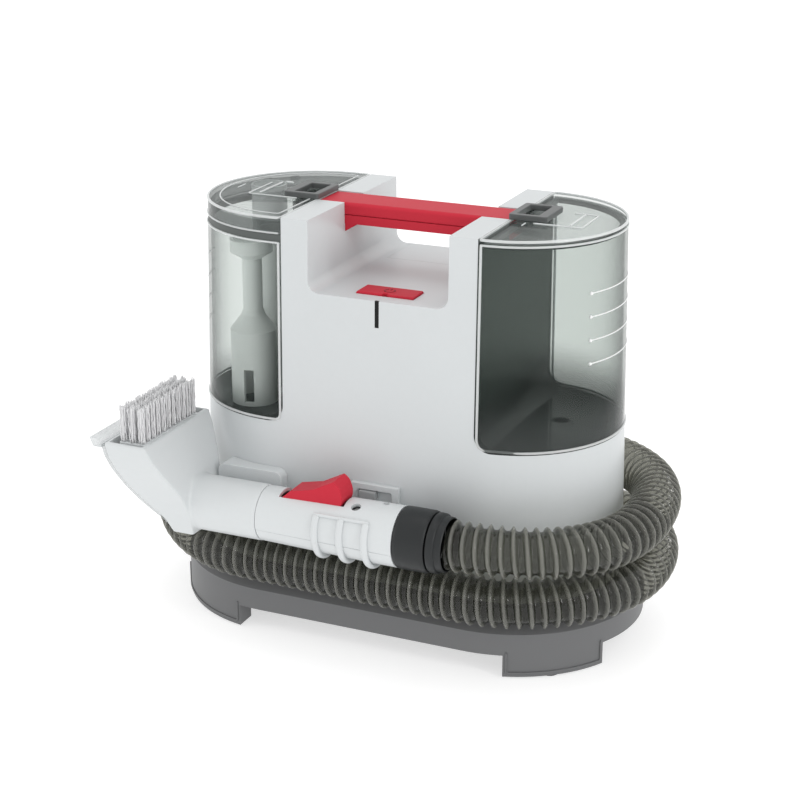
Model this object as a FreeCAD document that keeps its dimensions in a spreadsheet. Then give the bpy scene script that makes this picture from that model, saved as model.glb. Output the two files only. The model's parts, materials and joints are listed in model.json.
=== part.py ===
import FreeCAD, Part
import math
import os
from types import SimpleNamespace

import Sketcher
from FreeCAD import Rotation, Vector

# A portable carpet and upholstery cleaner, in millimetres. The origin is on the floor, at the
# middle of the oval body. +X runs to the clean tank, -Y is the front, +Z is up.

SIZES = {
    # body: an oval with drafted walls; its radius is given at the top
    "top_height": 300.0,
    "top_radius": 73.4,
    "half_straight": 78.0,
    "draft_slope": 0.0227,
    "shell_wall": 2.5,
    "part_gap": 0.3,
    # middle column between the two tanks; the dirty tank is the longer one
    "middle_x": 6.0,
    "column_half": 71.0,
    "saddle_half": 51.0,
    "saddle_floor": 250.5,
    "saddle_round": 8.0,
    "shelf_height": 155.0,
    "shelf_round": 12.0,
    # tray with its sloped shoulder and legs
    "tray_radius": 95.5,
    "tray_edge": 33.0,
    "tray_top": 48.0,
    "tray_wall": 3.0,
    "arch_half": 100.0,
    "arch_height": 17.0,
    "end_arch_half": 45.0,
    "leg_depth": 16.0,
    "pad_radius": 7.0,
    "pad_height": 4.0,
    "pad_proud": 1.2,
    # carry handle
    "handle_half_width": 15.5,
    "handle_bottom": 284.9,
    "handle_split": 291.0,
    "handle_wall": 3.0,
    "gusset_drop": 5.5,
    # power button on the saddle floor
    "button_half_length": 21.0,
    "button_half_width": 9.4,
    "button_y": -53.0,
    "button_top": 252.0,
    "button_travel": 2.0,
    "groove_width": 3.0,
    "groove_low": 232.0,
    # rear cover
    "cover_half": 39.0,
    "cover_low": 122.0,
    "cover_tongue": 30.0,
    "grille_half": 22.0,
    "grille_low": 165.0,
    "grille_high": 215.0,
    # tanks
    "tank_wall": 2.2,
    "lid_plate": 3.0,
    "dirty_rim": 283.0,
    "gasket_height": 5.0,
    "neck_radius": 9.0,
    "neck_x": 112.0,
    "ring_length": 27.0,
    "ring_half_width": 17.5,
    "ring_height": 4.0,
    "ring_bar": 4.0,
    "ring_slide": 3.0,
    # docked tool
    "tool_y": -108.0,
    "tool_z": 100.0,
    "tool_radius": 21.0,
    "tool_wall": 2.6,
    "tool_split": 94.0,
    "grip_start": -62.0,
    "grip_end": 39.7,
    "cuff_end": 62.7,
    "collar_end": 74.0,
    "mouth_half_width": 45.0,
    "mouth_height": 152.0,
    "mouth_right": -130.6,
    "mouth_left": -166.0,
    "bristle_length": 26.0,
    # hose
    "hose_radius": 17.5,
    "hose_wall": 2.0,
    "port_x": 18.0,
    "port_face": 40.0,
    "port_y": 97.0,
    "port_z": 59.0,
    "port_radius": 18.0,
    # motor and fan, on one upright axis
    "motor_radius": 44.0,
    "motor_low": 150.0,
    "motor_high": 214.0,
    "fan_radius": 50.0,
    "fan_low": 112.0,
    "shaft_radius": 4.0,
}

# Hose route from the rear port, round the right end low, along the front, up round the left
# end, along the back, round the right end high and back to the tool: points chosen by hand.
HOSE_ROUTE = [
    (40, 97, 59), (121, 97, 59), (179, 41, 60), (179, -41, 59), (121, -97, 57.8),
    (40, -97.8, 58.2), (-40, -97.2, 59.4), (-120, -97, 60.4), (-178, -41, 67),
    (-178, 41, 78.5), (-120, 97, 89.5), (-40, 97.6, 98), (40, 97.2, 99.6), (121, 97, 100.2),
    (179, 42, 100.5), (181, -54, 99), (129, -108, 100), (74, -108, 100),
]
HOSE_ARC_SHARE = 0.45

doc = FreeCAD.newDocument("carpet_cleaner")
sheet = doc.addObject("Spreadsheet::Sheet", "Sizes")
nodes = []


class Size(float):
    """A number that carries the sheet formula it comes from."""

    def __new__(cls, value, formula):
        size = float.__new__(cls, value)
        size.formula = formula
        return size

    def __add__(self, other):
        return join(self, "+", other, float(self) + float(other))

    def __radd__(self, other):
        return join(other, "+", self, float(other) + float(self))

    def __sub__(self, other):
        return join(self, "-", other, float(self) - float(other))

    def __rsub__(self, other):
        return join(other, "-", self, float(other) - float(self))

    def __mul__(self, other):
        return join(self, "*", other, float(self) * float(other))

    def __rmul__(self, other):
        return join(other, "*", self, float(other) * float(self))

    def __truediv__(self, other):
        return join(self, "/", other, float(self) / float(other))

    def __neg__(self):
        return self * -1


def formula_of(value):
    return value.formula if isinstance(value, Size) else "(%r)" % float(value)


def join(left, sign, right, value):
    return Size(value, "(%s %s %s)" % (formula_of(left), sign, formula_of(right)))


def fill_sheet():
    """Write every driving dimension to the sheet and return them by name."""
    names = SimpleNamespace()
    for row, (alias, value) in enumerate(SIZES.items(), start=1):
        sheet.set("A%d" % row, alias)
        sheet.set("B%d" % row, str(value))
        sheet.setAlias("B%d" % row, alias)
        setattr(names, alias, Size(value, "Sizes." + alias))
    doc.recompute()
    return names


d = fill_sheet()


# ---------------------------------------------------------------- working with document objects

def bind(obj, prop, value):
    """Tie a property to the sheet, or set it when it is a plain number."""
    if isinstance(value, Size):
        obj.setExpression(prop, value.formula)
    else:
        obj.setExpression(prop, repr(float(value)))


def place(obj, x, y, z, rotation=None):
    if rotation:
        obj.Placement = FreeCAD.Placement(Vector(0, 0, 0), rotation)
    bind(obj, "Placement.Base.x", x)
    bind(obj, "Placement.Base.y", y)
    bind(obj, "Placement.Base.z", z)
    return obj


def box(name, x_range, y_range, z_range):
    obj = doc.addObject("Part::Box", name)
    for prop, span in zip(("Length", "Width", "Height"), (x_range, y_range, z_range)):
        bind(obj, prop, span[1] - span[0])
    return place(obj, x_range[0], y_range[0], z_range[0])


TURNS = {
    "X": Rotation(Vector(0, 1, 0), 90),
    "Y": Rotation(Vector(1, 0, 0), -90),
    "Z": Rotation(),
}


def cylinder(name, base, radius, length, axis="Z"):
    """A cylinder that starts at base and runs along a positive axis."""
    obj = doc.addObject("Part::Cylinder", name)
    bind(obj, "Radius", radius)
    bind(obj, "Height", length)
    return place(obj, *base, rotation=TURNS[axis])


def cone(name, base, radius_low, radius_high, length, axis="Z"):
    obj = doc.addObject("Part::Cone", name)
    bind(obj, "Radius1", radius_low)
    bind(obj, "Radius2", radius_high)
    bind(obj, "Height", length)
    return place(obj, *base, rotation=TURNS[axis])


def fuse(name, *shapes):
    obj = doc.addObject("Part::MultiFuse", name)
    obj.Shapes = list(shapes)
    return obj


def cut(name, base, *tools):
    obj = doc.addObject("Part::Cut", name)
    obj.Base = base
    obj.Tool = tools[0] if len(tools) == 1 else fuse(name + "_tools", *tools)
    return obj


def common(name, first, second):
    obj = doc.addObject("Part::Common", name)
    obj.Base = first
    obj.Tool = second
    return obj


def group(name, *shapes):
    """Keep separate solids together in one object."""
    obj = doc.addObject("Part::Compound", name)
    obj.Links = list(shapes)
    return obj


def ring(name, base, outer, inner, length, axis="Z"):
    solid = cylinder(name + "_outer", base, outer, length, axis)
    hole = cylinder(name + "_inner", base, inner, length, axis)
    return cut(name, solid, hole)


def rounded(name, base, radius, chosen):
    """Fillet the straight edges whose middle point is accepted by chosen."""
    doc.recompute()
    edges = []
    for index, edge in enumerate(base.Shape.Edges, start=1):
        if chosen(edge.CenterOfMass, edge.tangentAt(edge.FirstParameter)):
            edges.append((index, float(radius), float(radius)))
    obj = doc.addObject("Part::Fillet", name)
    obj.Base = base
    obj.Edges = edges
    return obj


def node(label, obj):
    """Name a finished sub-part; the name is also its file's name."""
    obj.Label = label
    nodes.append(obj)
    return obj


# ------------------------------------------------------------------------ bodies and sketches

def new_body(name):
    return doc.addObject("PartDesign::Body", name)


def arc_between(start, end, radius):
    """Short arc from start to end, to the left of the chord when the radius is positive."""
    chord = end - start
    side = Vector(-chord.y, chord.x, 0) / chord.Length
    reach = math.sqrt(max(radius ** 2 - chord.Length ** 2 / 4, 0))
    centre = (start + end) * 0.5 + side * math.copysign(reach, radius)
    angles = [math.atan2(p.y - centre.y, p.x - centre.x) for p in (start, end)]
    if radius < 0:
        angles.reverse()
    if angles[1] < angles[0]:
        angles[1] += 2 * math.pi
    return Part.ArcOfCircle(Part.Circle(centre, Vector(0, 0, 1), abs(radius)), *angles)


def draw(sketch, loop):
    """Draw a closed loop. A step (x, y) is a line to that point, (x, y, r) an arc to it."""
    first = sketch.GeometryCount
    points = [Vector(float(step[0]), float(step[1]), 0) for step in loop]
    ends = []
    for index, step in enumerate(loop):
        start, end = points[index - 1], points[index]
        if len(step) == 2:
            sketch.addGeometry(Part.LineSegment(start, end), False)
        else:
            sketch.addGeometry(arc_between(start, end, float(step[2])), False)
        ends.append(1 if len(step) == 3 and step[2] < 0 else 2)
    for index, step in enumerate(loop):
        here, after = first + index, first + (index + 1) % len(loop)
        next_start = 3 - ends[(index + 1) % len(loop)]
        sketch.addConstraint(Sketcher.Constraint("Coincident", here, ends[index], after, next_start))
        for kind, value in (("DistanceX", step[0]), ("DistanceY", step[1])):
            limit = Sketcher.Constraint(kind, -1, 1, here, ends[index], float(value))
            number = sketch.addConstraint(limit)
            bind(sketch, "Constraints[%d]" % number, value)
        if len(step) == 3:
            size = step[2] if step[2] > 0 else -step[2]
            number = sketch.addConstraint(Sketcher.Constraint("Radius", here, float(size)))
            bind(sketch, "Constraints[%d]" % number, size)


def sketch_on(body, plane, offset, *loops):
    """Sketch loops on one of the body's own planes, moved along the plane's normal."""
    sketch = body.newObject("Sketcher::SketchObject", body.Name + "_sketch")
    support = next(f for f in body.Origin.OriginFeatures if f.Role == plane)
    sketch.AttachmentSupport = [(support, "")]
    sketch.MapMode = "FlatFace"
    bind(sketch, "AttachmentOffset.Base.z", offset)
    for loop in loops:
        draw(sketch, loop)
    return sketch


def pad(body, plane, offset, length, *loops, slope=None):
    """Raise the loops along the plane's normal; a slope makes the walls lean inward."""
    feature = body.newObject("PartDesign::Pad", body.Name + "_pad")
    feature.Profile = sketch_on(body, plane, offset, *loops)
    bind(feature, "Length", length)
    if slope is not None:
        feature.setExpression("TaperAngle", "-atan(%s)" % formula_of(slope))
    return feature


def pocket(body, plane, offset, length, *loops):
    """Cut the loops along the plane's normal and make sure that material went."""
    doc.recompute()
    before = body.Shape.Volume
    feature = body.newObject("PartDesign::Pocket", body.Name + "_pocket")
    feature.Profile = sketch_on(body, plane, offset, *loops)
    feature.Reversed = True
    bind(feature, "Length", length)
    doc.recompute()
    if body.Shape.Volume > before - 1.0:
        raise RuntimeError("the pocket cut nothing in " + body.Name)
    return feature


def revolve(body, plane, offset, loop):
    """Turn a loop round the sketch's upright axis."""
    feature = body.newObject("PartDesign::Revolution", body.Name + "_turn")
    sketch = sketch_on(body, plane, offset, loop)
    feature.Profile = sketch
    feature.ReferenceAxis = (sketch, ["V_Axis"])
    feature.Angle = 360
    return feature


def loft(body, kind, sections):
    """Join sketches on the XY plane, given as (height, loop), with straight walls."""
    sketches = [sketch_on(body, "XY_Plane", height, loop) for height, loop in sections]
    feature = body.newObject("PartDesign::" + kind, body.Name + "_loft")
    feature.Profile = sketches[0]
    feature.Sections = sketches[1:]
    feature.Ruled = True
    return feature


def stadium(radius):
    c = d.half_straight
    return [
        (c, -radius), (c + radius, 0, radius), (c, radius, radius),
        (-c, radius), (-c - radius, 0, radius), (-c, -radius, radius),
    ]


def rectangle(x_range, y_range):
    return [
        (x_range[0], y_range[0]), (x_range[1], y_range[0]),
        (x_range[1], y_range[1]), (x_range[0], y_range[1]),
    ]


def end_radius(height):
    """Radius of the body's drafted wall at a height."""
    return d.top_radius + (d.top_height - height) * d.draft_slope


FAR = 260.0
column_left = d.middle_x - d.column_half
column_right = d.middle_x + d.column_half
saddle_left = d.middle_x - d.saddle_half
saddle_right = d.middle_x + d.saddle_half


def envelope(name, inset):
    """The drafted oval from the tray to the lids, moved inward by the inset."""
    body = new_body(name)
    height = d.top_height - d.tray_top
    outline = stadium(end_radius(d.tray_top) - inset)
    pad(body, "XY_Plane", d.tray_top, height, outline, slope=d.draft_slope)
    return body


outer_form = envelope("outer_form", 0)
shell_form = envelope("shell_form", d.shell_wall)
tank_form = envelope("tank_form", d.tank_wall)


# ------------------------------------------------------------------------------------- tray

def screw(name, base, radius, length, head_radius, head_height):
    """An upright screw with its head at the bottom."""
    shank = cylinder(name + "_shank", base, radius, length)
    head = cylinder(name + "_head", base, head_radius, head_height)
    return fuse(name, shank, head)


def at_legs():
    """Middle of each leg, on the circle through the legs' depth."""
    reach = d.tray_radius - d.leg_depth / 2
    for side_x in (1, -1):
        for side_y in (1, -1):
            angle = math.radians(52)
            x = side_x * (d.half_straight + reach * math.cos(angle))
            yield x, side_y * reach * math.sin(angle)


def make_tray():
    tray = new_body("tray_form")
    pad(tray, "XY_Plane", d.pad_proud, d.tray_edge - d.pad_proud, stadium(d.tray_radius))
    shoulder = d.tray_top - d.tray_edge
    pad(tray, "XY_Plane", d.tray_edge, shoulder, stadium(d.tray_radius), slope=1)
    inside = stadium(d.tray_radius - d.leg_depth)
    pocket(tray, "XY_Plane", 0, d.arch_height, inside)
    under = d.tray_edge - d.tray_wall
    hollow = stadium(d.tray_radius - d.tray_wall)
    pocket(tray, "XY_Plane", d.arch_height, under - d.arch_height, hollow)
    crown = stadium(d.tray_radius - d.leg_depth - d.tray_wall * 1.5)
    pocket(tray, "XY_Plane", under, d.tray_top - d.tray_wall - under, crown)
    front = rectangle((d.middle_x - d.arch_half, d.middle_x + d.arch_half), (-FAR, FAR))
    pocket(tray, "XY_Plane", 0, d.arch_height, front)
    ends = rectangle((-FAR, FAR), (-d.end_arch_half, d.end_arch_half))
    pocket(tray, "XY_Plane", 0, d.arch_height, ends)

    pads = [
        cylinder("pad", (x, y, 0), d.pad_radius, d.pad_height) for x, y in at_legs()
    ]
    low = d.tray_top - d.tray_wall - 4
    screws = [screw("tray_screw", (x, y, low), 1.8, 22, 4, 4) for x, y in boss_places()]
    node("foot_pads", group("foot_pads", *pads))
    node("base_screws", group("base_screws", *screws))
    node("base_tray", cut("base_tray", tray, *pads, *screws))
    return screws


def boss_places():
    """Screw bosses of the body, each against its wall."""
    wall = end_radius(d.tray_top) - d.shell_wall - 5
    for side in (1, -1):
        yield side * 70, wall
        yield side * 70, -wall
        yield side * (d.half_straight + wall), 0


tray_screws = make_tray()


# ------------------------------------------------------------------------------------ housing

def well(name, side, gap, low, high):
    """Space beside the middle column for a tank, with a rounded inner bottom edge."""
    if side > 0:
        inner = column_right + gap
        block = box(name + "_block", (inner, FAR), (-FAR, FAR), (low, high))
    else:
        inner = column_left - gap
        block = box(name + "_block", (-FAR, inner), (-FAR, FAR), (low, high))
    edge = Vector(float(inner), 0, float(low))

    def lower_inner(middle, direction):
        return abs(direction.y) > 0.9 and (middle - edge).Length < 1

    return rounded(name, block, d.shelf_round, lower_inner)


def saddle_space():
    x_range = (saddle_left, saddle_right)
    block = box("saddle_block", x_range, (-FAR, FAR), (d.saddle_floor, FAR * 1.3))

    def lower_sides(middle, direction):
        return abs(direction.y) > 0.9 and middle.z < d.saddle_floor + 1

    return rounded("saddle_space", block, d.saddle_round, lower_sides)


def rear_zone(name, gap):
    """The part of the shell that is the rear cover: back wall and tongue on the saddle floor."""
    x_range = (d.middle_x - d.cover_half + gap, d.middle_x + d.cover_half - gap)
    return box(name, x_range, (d.cover_tongue + gap, FAR), (d.cover_low + gap, d.saddle_floor + 1))


def make_cavity():
    """Room inside the shell: the foot of the body, the column and the two towers."""
    wall = d.shell_wall
    column = (column_left + wall, column_right - wall)
    foot = box("foot_room", (-FAR, FAR), (-FAR, FAR), (0, d.shelf_height - wall))
    middle = box("column_room", column, (-FAR, FAR), (d.shelf_height - 20, d.saddle_floor - wall))
    high = (d.saddle_floor - 20, d.handle_bottom - wall)
    left_x = (column_left + wall, saddle_left - wall)
    right_x = (saddle_right + wall, column_right - wall)
    left = box("left_tower_room", left_x, (-FAR, FAR), high)
    right = box("right_tower_room", right_x, (-FAR, FAR), high)
    return common("cavity", shell_form, fuse("rooms", foot, middle, left, right))


def cover_flange():
    """Frame behind the edge of the rear cover, part of the housing."""
    x_range = (d.middle_x - d.cover_half - 4, d.middle_x + d.cover_half + 4)
    z_range = (d.cover_low - 4, d.saddle_floor - d.shell_wall)
    plate = box("flange_plate", x_range, (68, 90), z_range)
    inner_x = (d.middle_x - d.cover_half + 9, d.middle_x + d.cover_half - 9)
    window = box("flange_window", inner_x, (60, 95), (d.cover_low + 9, d.saddle_floor - 12))
    return common("flange", shell_form, cut("flange_frame", plate, window))


def cover_screw_places():
    for side in (-1, 1):
        for height in (d.cover_low + 6, d.saddle_floor - 8):
            yield d.middle_x + side * (d.cover_half - 5), height


def make_cover_screws():
    """Screws of the rear cover, heads outward on the back wall."""
    screws = []
    for x, z in cover_screw_places():
        skin = end_radius(z)
        shank = cylinder("cover_shank", (x, skin - 10, z), 1.5, 10, "Y")
        head = cylinder("cover_head", (x, skin - 1.6, z), 3, 1.8, "Y")
        screws.append(fuse("cover_screw", shank, head))
    return screws


def make_housing():
    notch_y = (-d.handle_half_width - 0.2, d.handle_half_width + 0.2)
    notch = box("notch", (column_left, column_right), notch_y, (d.handle_bottom - 0.1, FAR * 1.3))
    spaces = [
        well("left_well", -1, 0, d.shelf_height, FAR * 1.3),
        well("right_well", 1, 0, d.shelf_height, FAR * 1.3),
        saddle_space(),
        notch,
    ]
    solid = cut("housing_solid", outer_form, *spaces)
    shell = cut("housing_shell", solid, make_cavity())

    bosses = [
        common("boss", shell_form, cylinder("boss_post", (x, y, d.tray_top), 6, 30))
        for x, y in boss_places()
    ]
    half_x = d.button_half_length + 0.3
    half_y = d.button_half_width + 0.3
    middle = d.middle_x
    opening = box(
        "button_opening",
        (middle - half_x, middle + half_x),
        (d.button_y - half_y, d.button_y + half_y),
        (d.saddle_floor - 5, d.saddle_floor + 5),
    )
    half_groove = d.groove_width / 2
    groove = box(
        "groove",
        (middle - half_groove, middle + half_groove),
        (-FAR, d.button_y - half_y + 1),
        (d.groove_low, d.saddle_floor + 5),
    )
    groove_skin = cut("groove_skin", groove, envelope("groove_floor", 1.6))
    port_hole = cylinder("port_hole", (d.port_x, 60, d.port_z), 10.8, 40, "Y")
    gland_hole = cylinder("gland_hole", (62, 60, 138), 6, 40, "Y")
    seat_hole = cylinder("seat_hole", (d.neck_x, 0, 140), 11.2, 30)
    dirty_hole = cylinder("dirty_hole", (-110, 0, 140), 11, 30)
    air_hole = cylinder("air_hole", (-95, 38, 140), 10, 30)

    open_shell = cut("open_shell", shell, rear_zone("cover_gap", 0))
    frame = fuse("housing_frame", open_shell, cover_flange(), *bosses)
    holes = [opening, groove_skin, port_hole, gland_hole, seat_hole, dirty_hole, air_hole]
    holes += [*tray_screws, *cover_screws, *handle_screws]
    node("main_housing", cut("main_housing", frame, *holes))

    zone = common("cover_blank", shell, rear_zone("cover_zone", 0.2))
    window_x = (middle - d.grille_half, middle + d.grille_half)
    window = box("grille_window", window_x, (60, 95), (d.grille_low, d.grille_high))
    node("rear_cover", cut("rear_cover", zone, window, *cover_screws))

    pane_x = (window_x[0] + 0.2, window_x[1] - 0.2)
    pane = box("grille_pane", pane_x, (60, 95), (d.grille_low + 0.2, d.grille_high - 0.2))
    slot_x = (window_x[0] + 4, window_x[1] - 4)
    slots = [
        box("louvre", slot_x, (60, 95), (d.grille_low + 5 + 6 * step, d.grille_low + 8 + 6 * step))
        for step in range(7)
    ]
    node("exhaust_grille", cut("exhaust_grille", common("grille_blank", shell, pane), *slots))


def make_front_parts():
    """Button, light guide, switch, board and the parts that hold the docked tool."""
    middle = d.middle_x
    top = d.button_top
    slit = d.groove_width / 2 + 0.2
    edge = d.button_y - d.button_half_width
    x_range = (middle - d.button_half_length, middle + d.button_half_length)
    y_range = (edge, d.button_y + d.button_half_width)
    cap = box("button_cap", x_range, y_range, (d.saddle_floor - 6, top))

    def top_edges(point, direction):
        return point.z > top - 0.1

    soft_cap = rounded("button_soft", cap, 1.2, top_edges)
    flange_x = (x_range[0] - 2, x_range[1] + 2)
    flange_y = (y_range[0] - 1.5, y_range[1] + 1.5)
    flange = box("button_flange", flange_x, flange_y, (d.saddle_floor - 7.5, d.saddle_floor - 5.5))
    slit_x = (middle - slit, middle + slit)
    notch = box("button_notch", slit_x, (edge - 5, edge + 3), (top - 4, top + 5))
    node("power_button", cut("power_button", fuse("button_whole", soft_cap, flange), notch))

    low = d.saddle_floor - 7.5
    spring = ring("button_spring", (middle - 14, d.button_y, low - 8), 4, 3, 8)
    node("button_spring", spring)
    switch_y = (d.button_y - 7, d.button_y + 7)
    switch = box("switch_block", (middle - 8, middle + 12), switch_y, (218, 230))
    stem = cylinder("switch_stem", (middle + 4, d.button_y, 230), 2.5, 8)
    node("power_switch", fuse("power_switch", switch, stem))

    half = d.groove_width / 2 - 0.1
    guide_z = (d.groove_low + 0.1, d.saddle_floor)
    run = box("guide_run", (middle - half, middle + half), (-FAR, edge - 0.6), guide_z)
    band = cut("guide_band", common("guide_outer", outer_form, run), envelope("guide_floor", 1.6))
    node("indicator_strip", band)

    board = box("board", (-38, 50), (-66, -64.4), (165, 226))
    chips = []
    for step in range(4):
        left = -30 + 22 * step
        low = 176 + 9 * (step % 2)
        chips.append(box("chip", (left, left + 12), (-64.4, -58), (low, low + 14)))
    node("control_board", fuse("control_board", board, *chips))

    handle_room = cylinder("tool_room", (-140, d.tool_y, d.tool_z), d.tool_radius + 0.4, 220, "X")
    block = box("cradle_block", (-112, -62), (-87, -60), (101, 121.6))

    def upper_corners(point, direction):
        return abs(direction.y) > 0.9 and point.z > 121

    cradle = rounded("cradle_soft", block, 6, upper_corners)
    node("tool_cradle", cut("tool_cradle", cradle, handle_room, outer_form))
    frame = box("bracket_frame", (-11.2, 24.6), (-81.2, -70), (104, 121.6))
    inner = box("bracket_inner", (-5.6, 19), (-95, -60), (108.6, 116.9))
    outline = cut("bracket_open", frame, inner, handle_room, outer_form)
    node("tool_bracket", outline)
    catch = box("catch_block", (-4.4, 7.8), (-83.5, -70), (110.8, 116.6))
    node("bracket_catch", cut("bracket_catch", catch, handle_room, outer_form))


def make_handle():
    """Carry bar in two halves, let into the tops of the towers."""
    x_range = (column_left + 0.3, column_right - 0.3)
    y_range = (-d.handle_half_width, d.handle_half_width)
    top = d.top_height - 0.2
    bar = box("bar_upper", x_range, y_range, (d.handle_split + 0.1, top))

    def long_top(point, direction):
        return abs(direction.x) > 0.9 and point.z > top - 0.1

    wall = d.handle_wall
    inner_x = (x_range[0] + 18, x_range[1] - 18)
    inner_y = (y_range[0] + wall, y_range[1] - wall)
    upper_room = box("upper_room", inner_x, inner_y, (d.handle_split - 1, top - wall))
    node("handle_upper", cut("handle_upper", rounded("bar_soft", bar, 2.5, long_top), upper_room))

    lower = box("bar_lower", x_range, y_range, (d.handle_bottom, d.handle_split))
    lower_room = box("lower_room", inner_x, inner_y, (d.handle_bottom + 2.5, d.handle_split + 1))
    gussets = []
    for wall_x, side in ((saddle_left, 1), (saddle_right, -1)):
        web = new_body("gusset")
        start = wall_x + side * 0.2
        drop = d.handle_bottom - d.gusset_drop
        outline = [(start, drop), (start + side * 9, d.handle_bottom), (start, d.handle_bottom)]
        pad(web, "XZ_Plane", -d.handle_half_width, d.handle_half_width * 2, outline)
        gussets.append(web)
    low = d.handle_bottom - 9
    screws = [
        screw("bar_screw", (x, 0, low), 1.8, 13, 3.5, 3) for x in (column_left + 9, column_right - 9)
    ]
    whole = fuse("lower_whole", lower, *gussets)
    node("handle_lower", cut("handle_lower", whole, lower_room, *screws))
    return screws


handle_screws = make_handle()
cover_screws = make_cover_screws()
node("body_screws", group("body_screws", *handle_screws, *cover_screws))
make_housing()
make_front_parts()


# --------------------------------------------------------------------------- inside the body

def bent_wire(points, share, report=None):
    """Straight runs joined by tangent arcs; each arc takes a share of its shorter run."""
    corners = [Vector(*p) for p in points]
    edges = []
    here = corners[0]
    radii = []
    for before, corner, after in zip(corners, corners[1:], corners[2:]):
        inward = (before - corner).normalize()
        onward = (after - corner).normalize()
        half_turn = (math.pi - inward.getAngle(onward)) / 2
        reach = share * min((before - corner).Length, (after - corner).Length)
        radii.append(reach / math.tan(half_turn))
        start, end = corner + inward * reach, corner + onward * reach
        bisector = (inward + onward).normalize()
        centre = corner + bisector * (radii[-1] / math.cos(half_turn))
        crown = centre - bisector * radii[-1]
        edges.append(Part.LineSegment(here, start).toShape())
        edges.append(Part.Arc(start, crown, end).toShape())
        here = end
    edges.append(Part.LineSegment(here, corners[-1]).toShape())
    if report:
        print(report, "radii", [round(radius) for radius in radii])
    return Part.Wire(edges)


def sweep(wire, radius):
    start = wire.Edges[0]
    direction = start.tangentAt(start.FirstParameter)
    origin = start.valueAt(start.FirstParameter)
    profile = Part.Wire(Part.makeCircle(float(radius), origin, direction))
    return wire.makePipeShell([profile], True, False)


def tube(name, points, radius, wall, share=HOSE_ARC_SHARE, report=None):
    """A hollow tube along a route."""
    wire = bent_wire(points, share, report)
    shape = sweep(wire, radius).cut(sweep(wire, radius - wall))
    section = math.pi * (float(radius) ** 2 - float(radius - wall) ** 2)
    if abs(shape.Volume / (section * wire.Length) - 1) > 0.01:
        raise RuntimeError(name + " has not the volume of its section times its length")
    if report:
        print(report, "length", round(wire.Length))
    feature = doc.addObject("Part::Feature", name)
    feature.Shape = shape
    return feature


def make_motor():
    x, low, high = d.middle_x, d.motor_low, d.motor_high
    wall = 3.0
    radius = d.motor_radius
    can = cylinder("can_block", (x, 0, low), radius, high - low)
    room = cylinder("can_room", (x, 0, low - 1), radius - wall, high - low - wall + 1)
    bearing = cylinder("can_bearing", (x, 0, high - 5), d.shaft_radius + 0.2, 10)
    node("motor_can", cut("motor_can", can, room, bearing))

    core = cylinder("rotor_core", (x, 0, low + 10), 26, high - low - 22)
    shaft = cylinder("rotor_shaft", (x, 0, d.fan_low + 6), d.shaft_radius, high - d.fan_low - 4)
    node("motor_rotor", fuse("motor_rotor", core, shaft))

    disc = cylinder("fan_disc", (x, 0, d.fan_low + 8), d.fan_radius, 3)
    hub = cylinder("fan_hub", (x, 0, d.fan_low + 8), 9, 18)
    blades = []
    for step in range(9):
        blade = doc.addObject("Part::Box", "fan_blade")
        bind(blade, "Length", d.fan_radius - 14)
        blade.Width = 2
        blade.Height = 12
        turn = Rotation(Vector(0, 0, 1), 40 * step)
        start = Vector(float(x), 0, float(d.fan_low) + 11) + turn.multVec(Vector(12, -1, 0))
        blade.Placement = FreeCAD.Placement(start, turn)
        blades.append(blade)
    bore = cylinder("fan_bore", (x, 0, d.fan_low), d.shaft_radius, 60)
    node("fan_impeller", cut("fan_impeller", fuse("fan_whole", disc, hub, *blades), bore))

    scroll = cylinder("scroll_block", (x, 0, d.fan_low), d.fan_radius + 8, 34)
    scroll_room = cylinder("scroll_room", (x, 0, d.fan_low + 3), d.fan_radius + 5, 40)
    eye = cylinder("scroll_eye", (x, 0, d.fan_low - 5), 14, 12)
    node("fan_scroll", cut("fan_scroll", scroll, scroll_room, eye))

    deck = box("deck_plate", (column_left + 4, column_right - 4), (-66, 66), (low - 4, low))
    deck_eye = cylinder("deck_eye", (x, 0, low - 10), 30, 20)
    node("motor_deck", cut("motor_deck", deck, deck_eye))

    mounts = [
        ring("mount_ring", (x, 0, height), radius + 6, radius, 8) for height in (low, high - 10)
    ]
    node("motor_mounts", group("motor_mounts", *mounts))


def make_pump():
    body = cylinder("pump_core", (-70, -34, 86), 17, 56, "X")
    head = cylinder("pump_head", (-14, -34, 86), 11, 22, "X")
    node("pump_body", fuse("pump_body", body, head))
    base = box("pump_base", (-64, -22), (-54, -14), (d.tray_top, 74))
    seat = cylinder("pump_seat", (-80, -34, 86), 17, 70, "X")
    node("pump_bracket", cut("pump_bracket", base, seat))


def make_ducts():
    suction = [(d.neck_x, 0, 129), (d.neck_x, 0, 108), (90, -20, 90), (45, -34, 86), (8, -34, 86)]
    feed = tube("feed_tube", suction, 4.0, 1.2, share=0.4)
    spray = [
        (-70, -34, 86), (-90, -34, 86), (-100, -8, 60), (-76, 34, 54), (-40, 54, 53), (-2, 66, 54),
    ]
    spray_tube = tube("spray_tube", spray, 3.0, 1.0, share=0.4)
    node("solution_tubes", group("solution_tubes", feed, spray_tube))
    dirty = [
        (d.port_x, 68, d.port_z), (d.port_x, 42, d.port_z), (-30, 16, 66),
        (-84, 4, 78), (-110, 0, 112), (-110, 0, 155),
    ]
    node("dirty_duct", tube("dirty_duct", dirty, 10.8, 1.6, share=0.4))
    air = [(-95, 38, 155), (-95, 38, 122), (-62, 34, 100), (-24, 18, 88), (4, 2, 90), (6, 0, 112)]
    node("air_duct", tube("air_duct", air, 9.5, 1.5, share=0.4))


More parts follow.
